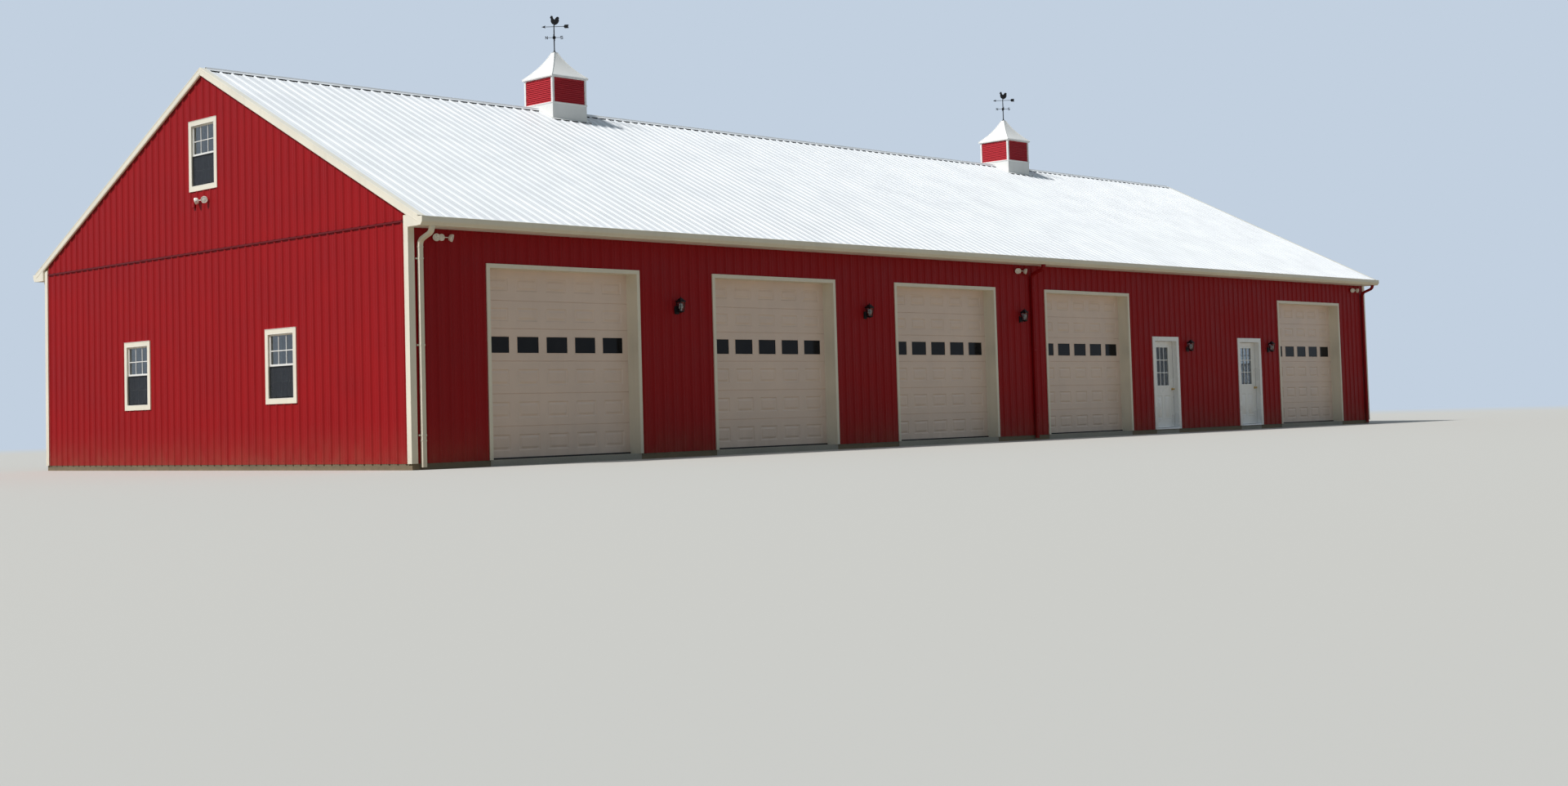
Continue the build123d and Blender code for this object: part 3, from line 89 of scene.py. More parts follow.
# Places that the frame's joined nodes don't tell apart
ridge_height = 7.128
roof_pitch = math.atan(0.5)
pitch_cos, pitch_sin = math.cos(roof_pitch), math.sin(roof_pitch)
eave_line = 6.461
plate_line = -6.096
bay_width = 5.08
entry_bay = 1.5 * bay_width
entry_spacing = 3.8608
overhead_middles = [bay * bay_width for bay in (-2.5, -1.5, -0.5, 0.5, 2.5)]
entry_middles = {
    "left_entry_door": entry_bay - entry_spacing / 2,
    "right_entry_door": entry_bay + entry_spacing / 2,
}
casing_half_width, casing_half_height = 0.476, 0.635
window_level = 1.752
gable_windows = ((0.0, 5.605), (-2.4384, window_level), (2.4384, window_level))
back_windows = [(middle, window_level) for middle in (-12.70, -2.54, 2.54, 12.70)]
lantern_level, entry_lantern_level, entry_lantern_offset = 2.65, 2.05, 0.9652
flood_level, end_flood_middle, gable_flood_level = 3.64, 15.2196, 4.79
junction_box_offset = 0.310
cupola_half_width = 0.4572
louvre_setback = 0.0036
cupola_middles = (
    louvre_low[0] + cupola_half_width - louvre_setback,
    louvre_high[0] - cupola_half_width + louvre_setback,
)

# Outline of the rooster as shares of its length and height, from its foot up over its comb, back and tail
rooster = (
    (0.41, 0.00), (0.38, 0.08), (0.24, 0.16), (0.12, 0.32), (0.09, 0.50), (0.10, 0.64), (0.06, 0.72), (0.00, 0.76),
    (0.06, 0.84), (0.10, 0.97), (0.16, 0.92), (0.20, 1.00), (0.25, 0.92), (0.31, 0.93), (0.33, 0.80), (0.39, 0.66),
    (0.47, 0.61), (0.55, 0.62), (0.60, 0.70), (0.70, 0.80), (0.82, 0.85), (0.94, 0.81), (1.00, 0.69), (0.95, 0.58),
    (0.99, 0.47), (0.93, 0.32), (0.83, 0.18), (0.66, 0.08), (0.54, 0.05), (0.51, 0.00),
)

# Strokes of the direction letters, from one end to the other, as shares of half their width and height
letter_strokes = {
    "N": ((-1, -1, -1, 1), (1, 1, -1, -1), (1, -1, 1, 1)),
    "E": ((-1, -1, -1, 1), (-1, 1, 1, 1), (-1, 0, 0.6, 0), (-1, -1, 1, -1)),
    "W": ((-1, 1, -0.5, -1), (-0.5, -1, 0, 0.5), (0, 0.5, 0.5, -1), (0.5, -1, 1, 1)),
    "S": ((1, 1, -1, 1), (-1, 1, -1, 0), (-1, 0, 1, 0), (1, 0, 1, -1), (1, -1, -1, -1)),
}


def linear(value):
    """Display value from 0 to 255 as the linear value that a node takes."""
    share = value / 255
    return share / 12.92 if share <= 0.04045 else ((share + 0.055) / 1.055) ** 2.4


def colour(name, text, *display):
    """Property for a paint or surface colour, given as display values."""
    return FloatVectorProperty(
        name=name,
        description=text,
        subtype="COLOR",
        size=4,
        min=0,
        max=1,
        default=[linear(value) for value in display] + [1],
    )


def length(name, text, metres):
    """Property for a size in metres."""
    return FloatProperty(
        name=name, description=text, default=metres, min=0, precision=4, subtype="DISTANCE", unit="LENGTH"
    )


class ShopColours(bpy.types.PropertyGroup):
    """Colours of the building's finishes."""

    red_sheet: colour("Red sheet", "Paint of the wall sheets", 154, 16, 23)
    # The gable band's darker red is painted shade: it stands for the shadow line under the band's Z-flashing
    dark_red: colour("Dark red", "Paint of the gable band", 104, 18, 24)
    louvre_red: colour("Louvre red", "Paint of the cupola louvres", 196, 52, 62)
    white_sheet: colour("White sheet", "Paint of the roof sheets", 236, 239, 243)
    white_trim: colour("White trim", "Paint of the cupolas, windows and eave plates", 240, 240, 238)
    cream: colour("Cream", "Paint of the corner, eave and door trims", 240, 235, 220)
    tan_door: colour("Tan door", "Paint of the overhead doors", 238, 217, 205)
    white_door: colour("White door", "Paint of the entry doors", 248, 249, 250)
    concrete: colour("Concrete", "Floor slab", 170, 166, 158)
    treated_wood: colour("Treated wood", "Skirt boards at the ground", 112, 102, 82)
    framing: colour("Framing", "Softwood of the trusses, purlins and walls", 201, 171, 124)
    earth: colour("Earth", "Dust thrown up from the ground", 150, 128, 104)
    black_metal: colour("Black metal", "Lanterns and weathervanes", 13, 13, 15)
    lamp_white: colour("Lamp white", "Floodlight housings", 244, 243, 238)
    rubber: colour("Rubber", "Door seals and foam closures", 24, 23, 22)


class SheetSizes(bpy.types.PropertyGroup):
    """Sizes of the ribbed metal sheets."""

    rib_pitch: length("Rib pitch", "Distance between the main ribs", 0.2286)
    rib_base: length("Rib base", "Width of a main rib at its foot", 0.070)
    rib_crown: length("Rib crown", "Width of a main rib at its top", 0.018)
    rib_height: length("Rib height", "Height of a main rib over the flats", 0.021)
    bead_base: length("Bead base", "Width of the two small beads between ribs", 0.026)
    bead_crown: length("Bead crown", "Width of a bead at its top", 0.010)
    bead_height: length("Bead height", "Height of a bead over the flats", 0.0035)
    lap_height: length("Lap height", "Step where one panel laps over the next", 0.0015)
    panel_ribs: IntProperty(name="Ribs a panel", description="Main ribs from lap to lap", default=4, min=1)
    flat_height: length("Flat height", "Outer face of the flats over the framing", 0.003)
    metal: length("Metal", "Thickness of the sheet, drawn a little heavy", 0.0012)
    girt_spacing: length("Girt spacing", "Distance between the rows of screws", 0.6096)
    screw_head: length("Screw head", "Radius of a hexagon screw head", 0.0055)
    screw_washer: length("Screw washer", "Radius of the washer under it", 0.0085)
    screw_height: length("Screw height", "Height of the head over the sheet", 0.006)


class DoorSizes(bpy.types.PropertyGroup):
    """Sizes of the overhead and entry doors."""

    section_height: length("Section height", "Height of the lower sections", 0.5334)
    top_section_height: length("Top section height", "Height of the two upper sections", 0.4572)
    tall_sections: IntProperty(name="Lower sections", description="Number of lower sections", default=4, min=1)
    panel_pitch: length("Panel pitch", "Distance between the panels and panes", 0.62)
    panel_width: length("Panel width", "Width of an embossed panel or a pane", 0.447)
    panel_height: length("Panel height", "Height of an embossed panel or a pane", 0.265)
    panel_columns: IntProperty(name="Panel columns", description="Panels across a door", default=5, min=1)
    panel_margin: length("Panel margin", "Least rail over and under a panel", 0.12)
    groove_width: length("Groove width", "Width of one side of the groove round a panel", 0.016)
    groove_depth: length("Groove depth", "Depth of the groove round a panel", 0.011)
    field_slope: length("Field slope", "Width of the slope up to the panel's field", 0.030)
    joint_depth: length("Joint depth", "Depth of the line between two sections", 0.010)
    joint_half: length("Joint half width", "Half the width of that line", 0.003)
    pane_frame: length("Pane frame", "Width of the frame round a pane", 0.014)
    lite_bar: length("Lite bar", "Width of the bars in an entry door's glass", 0.020)


class WindowSizes(bpy.types.PropertyGroup):
    """Sizes of the sash windows."""

    sash_width: length("Sash width", "Width of a sash over its stiles", 0.7614)
    sash_height: length("Sash height", "Height of a sash over its rails", 0.5597)
    stile: length("Stile", "Width of the stiles and rails", 0.024)
    sash_offset: length("Sash offset", "Sash centre from the window's middle", 0.25985)
    upper_out: FloatProperty(name="Upper face", description="Face of the upper sash over the framing", default=-0.009)
    lower_out: FloatProperty(name="Lower face", description="Face of the lower sash over the framing", default=-0.047)
    screen_out: FloatProperty(name="Screen face", description="Face of the screen over the framing", default=0.001)
    screen_frame: length("Screen frame", "Width of the insect screen's frame", 0.022)
    casing_out: length("Casing face", "Face of the casing over the framing", 0.025)
    bar_width: length("Bar width", "Width of a glazing bar", 0.016)


class EdgeSizes(bpy.types.PropertyGroup):
    """Sizes of the ridge cap, gutters, pipes and trims."""

    cap_width: length("Cap width", "Width of one side of the ridge cap along the slope", 0.105)
    cap_crest: length("Cap crest", "Height of the ridge cap's fold over the ridge", 0.048)
    hanger_spacing: length("Hanger spacing", "Distance between the gutter hangers", 0.8)
    strap_levels: FloatVectorProperty(
        name="Strap levels", description="Heights of the downspout straps", size=3, default=(3.30, 1.95, 0.55)
    )
    corner_trim: length("Corner trim", "Width of a corner trim on each wall", 0.095)


class CupolaSizes(bpy.types.PropertyGroup):
    """Sizes of the cupolas."""

    post_width: length("Post width", "Width of a corner post", 0.048)
    blade_count: IntProperty(name="Blades", description="Louvre blades on each side", default=13, min=1)
    blade_depth: length("Blade depth", "How far a blade leans in", 0.030)
    roof_drip: length("Roof drip", "Height of the roof's drip edge", 0.034)
    roof_sag: length("Roof sag", "Depth of the roof's hollow curve", 0.042)
    apron: length("Apron", "Width of the flashing round a base", 0.07)


class VaneSizes(bpy.types.PropertyGroup):
    """Sizes of the masts and weathervanes."""

    arm_level: length("Arm level", "Height of the direction arms over the roof", 0.320)
    arm_length: length("Arm length", "Length of a direction arm", 0.135)
    pin_length: length("Pin length", "Length of the pin that a vane turns on", 0.090)
    arrow_level: length("Arrow level", "Height of the arrow over the mast's shoulder", 0.070)
    point_reach: length("Point reach", "Reach of the arrow's point", 0.260)
    fin_reach: length("Fin reach", "Reach of the arrow's fin", 0.310)
    rooster_length: length("Rooster length", "Length of the rooster", 0.195)
    rooster_height: length("Rooster height", "Height of the rooster", 0.215)
    heading: FloatProperty(name="Heading", description="Heading of the arrows at rest, in degrees", default=133)


class LampSizes(bpy.types.PropertyGroup):
    """Sizes of the lamps."""

    flood_spread: length("Flood spread", "Offset of a floodlight head from the middle", 0.118)
    flood_splay: FloatProperty(name="Flood splay", description="Turn of a head to its side, in degrees", default=44)
    flood_drop: FloatProperty(name="Flood drop", description="Tilt of a head to the ground, in degrees", default=14)


class StageSettings(bpy.types.PropertyGroup):
    """Floor, light and background."""

    floor_radius: length("Floor radius", "Reach of the floor round the building", 90.0)
    floor: colour("Floor", "Plain pale floor", 205, 203, 198)
    floor_bounce: colour("Floor bounce", "Tone that the floor throws back on the walls", 162, 149, 126)
    background: colour("Background", "Pale background behind the building", 194, 208, 224)
    sun_strength: FloatProperty(name="Sun", description="Strength of the soft main lamp", default=3.35, min=0)
    fill_strength: FloatProperty(name="Fill", description="Strength of the light from all round", default=0.235, min=0)


property_groups = (
    ("shop_colours", ShopColours),
    ("shop_sheets", SheetSizes),
    ("shop_doors", DoorSizes),
    ("shop_windows", WindowSizes),
    ("shop_edges", EdgeSizes),
    ("shop_cupolas", CupolaSizes),
    ("shop_vanes", VaneSizes),
    ("shop_lamps", LampSizes),
    ("shop_stage", StageSettings),
)

square = ((-1, -1), (1, -1), (1, 1), (-1, 1))


def circle(sides, radius=1.0, turn=0.0):
    """Points round a circle, counter-clockwise."""
    angles = [turn + math.tau * side / sides for side in range(sides)]
    return [(radius * math.cos(angle), radius * math.sin(angle)) for angle in angles]


def about(middle, half):
    """Low and high end of a span from its middle and half its width."""
    return middle - half, middle + half


class Face:
    """A flat side of the building: across runs to the right as seen from outside, up and out as named."""

    def __init__(self, origin, across, up=(0, 0, 1)):
        self.origin = Vector(origin)
        self.across = Vector(across)
        self.up = Vector(up)
        self.out = self.across.cross(self.up)

    def at(self, across, up, out=0.0):
        return self.origin + self.across * across + self.up * up + self.out * out

    def rectangle(self, across, up, out):
        """Corners of a rectangle in a plane of the face, counter-clockwise as seen from outside."""
        (left, right), (low, high) = across, up
        return [self.at(*corner, out) for corner in ((left, low), (right, low), (right, high), (left, high))]


def turned_face(origin, degrees):
    """An upright face turned round from the front's direction."""
    angle = math.radians(degrees)
    return Face(origin, (math.cos(angle), math.sin(angle), 0))


front_face = Face((0, front_line, 0), (1, 0, 0))
back_face = Face((0, back_line, 0), (-1, 0, 0))
left_face = Face((-gable_line, 0, 0), (0, -1, 0))
right_face = Face((gable_line, 0, 0), (0, 1, 0))
leaf_face = Face((0, leaf_low[1], 0), (1, 0, 0))
front_slope = Face((0, 0, ridge_height), (1, 0, 0), (0, pitch_cos, pitch_sin))
back_slope = Face((0, 0, ridge_height), (-1, 0, 0), (0, -pitch_cos, pitch_sin))
front_side = Face((0, 0, 0), (1, 0, 0))
back_side = Face((0, 0, 0), (-1, 0, 0))


class Shape:
    """Points and faces of one piece, gathered before its mesh is made."""

    def __init__(self):
        self.points = []
        self.faces = []

    def rings(self, rings, looped=False):
        """A skin through rings of points, each counter-clockwise as seen from the last ring's side."""
        start, count, levels = len(self.points), len(rings[0]), len(rings)
        for ring in rings:
            self.points.extend(ring)
        for level in range(levels if looped else levels - 1):
            low = start + level * count
            high = start + (level + 1) % levels * count
            for side in range(count):
                after = (side + 1) % count
                self.faces.append((low + side, low + after, high + after, high + side))
        if not looped:
            self.faces.append(tuple(range(start + count - 1, start - 1, -1)))
            self.faces.append(tuple(range(start + (levels - 1) * count, start + levels * count)))

    def solid(self, rings):
        """A closed skin through rings of points, whichever way round they run."""
        first = len(self.faces)
        self.rings(rings)
        volume = 0.0
        for corners in self.faces[first:]:
            points = [Vector(self.points[number]) for number in corners]
            for second, third in zip(points[1:], points[2:]):
                volume += points[0].dot(second.cross(third))
        if volume < 0:
            self.faces[first:] = [corners[::-1] for corners in self.faces[first:]]

    def prism(self, face, profile, across):
        """A straight length whose section is given as out and up."""
        self.solid([[face.at(place, up, out) for out, up in profile] for place in across])

    def slab(self, face, outline, out, chamfer=0.0):
        """A flat plate between two values of out, its outline given as across and up."""
        middle_across, middle_up = [sum(values) / len(outline) for values in zip(*outline)]
        rings = []
        for depth, inset in ((out[0], 0), (out[1] - chamfer, 0), (out[1], chamfer)):
            ring = []
            for across, up in outline:
                across, up = across - middle_across, up - middle_up
                share = 1 - inset / (math.hypot(across, up) or 1)
                ring.append(face.at(middle_across + across * share, middle_up + up * share, depth))
            rings.append(ring)
        self.solid(rings if chamfer else rings[::2])

    def swept(self, face, across, path, section):
        """A section, given as across and outwards of the bend, carried along a path of out and up."""
        rings = []
        for number, (out, up) in enumerate(path):
            before, after = path[max(number - 1, 0)], path[min(number + 1, len(path) - 1)]
            run = Vector((after[0] - before[0], after[1] - before[1])).normalized()
            rings.append([face.at(across + side, up + run.x * depth, out - run.y * depth) for side, depth in section])
        self.solid(rings)

    def rod(self, start, end, radius, sides=8):
        """A round rod from one point to another."""
        self.turned(start, end - start, ((radius, 0), (radius, (end - start).length)), sides)

    def bar(self, face, across, up, out, chamfer=0.002):
        """A straight bar between two values of across, up and out, with its outer edges broken."""
        (left, right), (low, high) = sorted(across), up
        rings = []
        for inset, depth in ((0, out[0]), (0, out[1] - chamfer), (chamfer, out[1])):
            rings.append(face.rectangle((left + inset, right - inset), (low + inset, high - inset), depth))
        self.rings(rings)

    def moulding(self, face, centre, size, profile):
        """A frame round a rectangle: its profile runs inwards over the front and back behind it."""
        rings = []
        for side, rise in square:
            ring = []
            for inset, out in profile:
                across = centre[0] + side * (size[0] / 2 - inset)
                up = centre[1] + rise * (size[1] / 2 - inset)
                ring.append(face.at(across, up, out))
            rings.append(ring[::-1])
        self.rings(rings, looped=True)

    def turned(self, origin, axis, profile, sides):
        """A turned solid: its profile gives radius and distance along the axis."""
        axis = Vector(axis).normalized()
        first = axis.orthogonal().normalized()
        second = axis.cross(first)
        rings = []
        for radius, along in profile:
            middle = Vector(origin) + axis * along
            rings.append([middle + (first * x + second * y) * radius for x, y in circle(sides)])
        self.rings(rings)

    def skin(self, face, across, up, outer, inner, is_open, top=None):
        """A closed sheet over a grid of lines, with its open cells left out and its top cut to a line."""
        numbers = {}

        def corner(column, level, side):
            place = across[column]
            height = min(up[level], top(place)) if top else up[level]
            key = (column, round(height, 5), side)
            if key not in numbers:
                numbers[key] = len(self.points)
                depth = outer(place, height) if side else inner(place, height)
                self.points.append(face.at(place, height, depth))
            return numbers[key]

        def is_solid(column, level):
            if not (0 <= column < len(across) - 1 and 0 <= level < len(up) - 1):
                return False
            left, right = across[column], across[column + 1]
            if top and up[level] >= max(top(left), top(right)) - 1e-5:
                return False
            return not is_open((left + right) / 2, (up[level] + up[level + 1]) / 2)

        def patch(corners):
            kept = [here for here, before in zip(corners, corners[-1:] + corners[:-1]) if here != before]
            if len(set(kept)) > 2:
                self.faces.append(tuple(kept))

        for column in range(len(across) - 1):
            for level in range(len(up) - 1):
                if not is_solid(column, level):
                    continue
                loop = [(column, level), (column + 1, level), (column + 1, level + 1), (column, level + 1)]
                patch([corner(*place, 1) for place in loop])
                patch([corner(*place, 0) for place in reversed(loop)])
                neighbours = [(column, level - 1), (column + 1, level), (column, level + 1), (column - 1, level)]
                for edge, beside in enumerate(neighbours):
                    if not is_solid(*beside):
                        start, end = loop[edge], loop[(edge + 1) % 4]
                        patch([corner(*start, 0), corner(*end, 0), corner(*end, 1), corner(*start, 1)])


def rounded_route(points, radius, steps):
    """A route of out and up with its corners taken round an arc."""
    route = [points[0]]
    for before, here, after in zip(points, points[1:], points[2:]):
        here = Vector(here)
        towards, onwards = (Vector(before) - here).normalized(), (Vector(after) - here).normalized()
        start, end = here + towards * radius, here + onwards * radius
        for step in range(steps + 1):
            share = step / steps
            route.append(tuple(start.lerp(here, share).lerp(here.lerp(end, share), share)))
    return route + [points[-1]]


def smooth_outline(points, steps):
    """An outline with points added along a curve through its own."""
    count = len(points)
    outline = []
    for number in range(count):
        p0, p1, p2, p3 = (Vector(points[(number + step) % count]) for step in (-1, 0, 1, 2))
        for step in range(steps):
            t = step / steps
            bent = 0.5 * (2 * p1 + (p2 - p0) * t + (2 * p0 - 5 * p1 + 4 * p2 - p3) * t**2)
            outline.append(tuple(bent + 0.5 * (3 * p1 - p0 - 3 * p2 + p3) * t**3))
    return outline


def finish_name(slot):
    """Name of the material made for a slot."""
    return f"{slot} finish"


def add_object(name, data):
    """An object in the scene for a mesh, a lamp or a camera."""
    thing = bpy.data.objects.new(name, data)
    bpy.context.scene.collection.objects.link(thing)
    return thing


def make_piece(name, shape, slot, node=None, body="building", round_over=None):
    """Turns a shape into a piece that rides on a body, takes a slot's finish and may stand for a node."""
    mesh = bpy.data.meshes.new(name)
    mesh.from_pydata(shape.points, [], shape.faces)
    mesh.materials.append(bpy.data.materials[finish_name(slot)])
    if round_over:
        mesh.shade_smooth()
        mesh.set_sharp_from_angle(angle=math.radians(round_over))
    if mesh.validate():
        raise RuntimeError(f"{name} has faces that don't hold together")
    piece = add_object(name, mesh)
    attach(piece, body)
    if node:
        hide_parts(node)


socket_kinds = {"Color": "Color", "Stain": "Color", "Dust": "Color", "Stretch": "Vector"}


def effect_group(name, inputs, outputs):
    """A node group for an effect that several finishes share, with its named sockets."""
    group = bpy.data.node_groups.new(name, "ShaderNodeTree")
    for direction, sockets in (("INPUT", inputs), ("OUTPUT", outputs)):
        for socket in sockets:
            kind = socket_kinds.get(socket, "Float")
            group.interface.new_socket(socket, in_out=direction, socket_type=f"NodeSocket{kind}")
    source, target = group.nodes.new("NodeGroupInput"), group.nodes.new("NodeGroupOutput")
    source.location.x, target.location.x = -900, 500
    return group, source.outputs, target.inputs


def stretched_noise(group, given, detail):
    """Noise on the object's own coordinates, at the group's Scale and drawn out by its Stretch."""
    place = group.nodes.new("ShaderNodeTexCoord")
    stretch = group.nodes.new("ShaderNodeVectorMath")
    stretch.operation = "MULTIPLY"
    noise = group.nodes.new("ShaderNodeTexNoise")
    noise.inputs["Detail"].default_value = detail
    place.location.x, stretch.location.x, noise.location.x = -900, -700, -500
    group.links.new(place.outputs["Object"], stretch.inputs[0])
    group.links.new(given["Stretch"], stretch.inputs[1])
    group.links.new(stretch.outputs[0], noise.inputs["Vector"])
    group.links.new(given["Scale"], noise.inputs["Scale"])
    return noise.outputs[0]


def rescale(tree, value, from_range, to_range, smooth=False):
    """A value taken from one range to another, held at the ends."""
    node = tree.nodes.new("ShaderNodeMapRange")
    node.location.x = -250
    if smooth:
        node.interpolation_type = "SMOOTHSTEP"
    tree.links.new(value, node.inputs["Value"])
    node.inputs["From Min"].default_value, node.inputs["From Max"].default_value = from_range
    node.inputs["To Min"].default_value, node.inputs["To Max"].default_value = to_range
    return node.outputs["Result"]


def feed(tree, socket, value):
    """Sets a socket to a number or colour, or links another node's output to it."""
    if isinstance(value, bpy.types.NodeSocket):
        tree.links.new(value, socket)
    else:
        socket.default_value = value


def combine(tree, operation, first, second):
    """Two values put together by a math node."""
    node = tree.nodes.new("ShaderNodeMath")
    node.operation = operation
    feed(tree, node.inputs[0], first)
    feed(tree, node.inputs[1], second)
    return node.outputs[0]


def blend_colours(tree, factor, first, second):
    """Two colours blended by a value."""
    node = tree.nodes.new("ShaderNodeMix")
    node.data_type = "RGBA"
    node.location.x = 250
    tree.links.new(factor, node.inputs["Factor"])
    feed(tree, node.inputs["A"], first)
    feed(tree, node.inputs["B"], second)
    return node.outputs["Result"]


def make_effects():
    """The node groups for tone, streaks, ground dust and grain."""
    # Slow changes of lightness over a surface, as paint and timber have
    group, given, made = effect_group("Tone", ("Color", "Scale", "Stretch", "Amount"), ("Color", "Value"))
    value = stretched_noise(group, given, 5.0)
    swing = combine(group, "MULTIPLY", rescale(group, value, (0.3, 0.7), (-1, 1)), given["Amount"])
    shade = group.nodes.new("ShaderNodeHueSaturation")
    group.links.new(combine(group, "ADD", swing, 1.0), shade.inputs["Value"])
    group.links.new(given["Color"], shade.inputs["Color"])
    group.links.new(shade.outputs["Color"], made["Color"])
    group.links.new(value, made["Value"])

    # Stains drawn out along the way that rain runs
    group, given, made = effect_group("Streaks", ("Color", "Stain", "Scale", "Stretch", "Amount"), ("Color",))
    value = stretched_noise(group, given, 3.0)
    mask = combine(group, "MULTIPLY", rescale(group, value, (0.48, 0.75), (0, 1), True), given["Amount"])
    group.links.new(blend_colours(group, mask, given["Color"], given["Stain"]), made["Color"])

    # Earth splashed and blown on a surface, thick at the ground and fading upwards
    inputs = ("Color", "Dust", "Scale", "Stretch", "Amount", "Reach")
    group, given, made = effect_group("Ground dust", inputs, ("Color",))
    value = stretched_noise(group, given, 4.0)
    place = group.nodes.new("ShaderNodeTexCoord")
    split = group.nodes.new("ShaderNodeSeparateXYZ")
    group.links.new(place.outputs["Object"], split.inputs[0])
    height = combine(group, "DIVIDE", split.outputs["Z"], given["Reach"])
    nearness = combine(group, "POWER", rescale(group, height, (0, 1), (1, 0)), 2.0)
    patches = rescale(group, value, (0.3, 0.7), (0.3, 1))
    mask = combine(group, "MULTIPLY", combine(group, "MULTIPLY", nearness, patches), given["Amount"])
    group.links.new(blend_colours(group, mask, given["Color"], given["Dust"]), made["Color"])

    # Height of a fine or drawn-out grain
    group, given, made = effect_group("Grain", ("Scale", "Stretch"), ("Height",))
    group.links.new(stretched_noise(group, given, 6.0), made["Height"])


class Finish:
    """A procedural material while its nodes are put together."""

    def __init__(self, slot, **settings):
        self.material = bpy.data.materials.new(finish_name(slot))
        self.material.use_nodes = True
        self.tree = self.material.node_tree
        self.shader = self.tree.nodes["Principled BSDF"]
        self.steps = 0
        for socket, value in settings.items():
            self.shader.inputs[socket.replace("_", " ")].default_value = value

    def effect(self, group, **values):
        """Places a shared effect with its own values."""
        node = self.tree.nodes.new("ShaderNodeGroup")
        node.node_tree = bpy.data.node_groups[group]
        self.steps += 1
        node.location = (-1500 + 220 * self.steps, 300)
        for name, value in values.items():
            feed(self.tree, node.inputs[name], value)
        return node.outputs

    def paint(self, colour_socket):
        self.tree.links.new(colour_socket, self.shader.inputs["Base Color"])

    def roughness(self, value, low, high):
        """Roughness that follows a value from 0 to 1."""
        self.tree.links.new(rescale(self.tree, value, (0.25, 0.75), (low, high)), self.shader.inputs["Roughness"])

    def relief(self, scale, stretch, strength, distance, under=None):
        """Relief from a grain, over any relief under it."""
        grain = self.effect("Grain", Scale=scale, Stretch=stretch)
        node = self.tree.nodes.new("ShaderNodeBump")
        node.inputs["Strength"].default_value = strength
        node.inputs["Distance"].default_value = distance
        self.tree.links.new(grain["Height"], node.inputs["Height"])
        if under:
            self.tree.links.new(under, node.inputs["Normal"])
        self.tree.links.new(node.outputs["Normal"], self.shader.inputs["Normal"])
        return node.outputs["Normal"]


# Stretches of an effect: the same every way, down a wall and down the roof
even = (1, 1, 1)
downwards = (1, 1, 0.06)
down_slope = (1, 0.06, 0.12)


def painted_metal(slot, paint, earth, stretch, rough, dust=0.25, streaks=0.12, gloss=0.5):
    """Factory-painted steel: faint streaks, dust at the ground, orange-peel grain and slight waviness."""
    finish = Finish(slot, Specular_IOR_Level=gloss)
    tone = finish.effect("Tone", Color=paint, Scale=1.3, Stretch=even, Amount=0.05)
    stain = [value * 0.62 for value in paint[:3]] + [1]
    run = finish.effect("Streaks", Color=tone["Color"], Stain=stain, Scale=9.0, Stretch=stretch, Amount=streaks)
    dusty = finish.effect(
        "Ground dust", Color=run["Color"], Dust=earth, Scale=5.0, Stretch=(1, 1, 0.6), Amount=dust, Reach=0.9
    )
    finish.paint(dusty["Color"])
    finish.roughness(tone["Value"], rough - 0.06, rough + 0.08)
    finish.relief(420.0, even, 0.12, 0.0004, finish.relief(2.2, (1, 1, 0.5), 0.25, 0.004))
    return finish


def toned(slot, paint, tones, rough, relief, splash=None, **settings):
    """A finish of tones over each other, each with scale, stretch and amount, with a relief and splashed earth."""
    finish = Finish(slot, **settings)
    base = None
    for scale, stretch, amount in tones:
        tone = finish.effect("Tone", Color=paint, Scale=scale, Stretch=stretch, Amount=amount)
        paint = tone["Color"]
        base = tone["Value"] if base is None else base
    if splash:
        dusty = finish.effect(
            "Ground dust", Color=paint, Dust=splash, Scale=6.0, Stretch=even, Amount=0.7, Reach=0.14
        )
        paint = dusty["Color"]
    if "Transmission_Weight" not in settings:
        finish.paint(paint)
    finish.roughness(base, *rough)
    if relief:
        finish.relief(*relief)


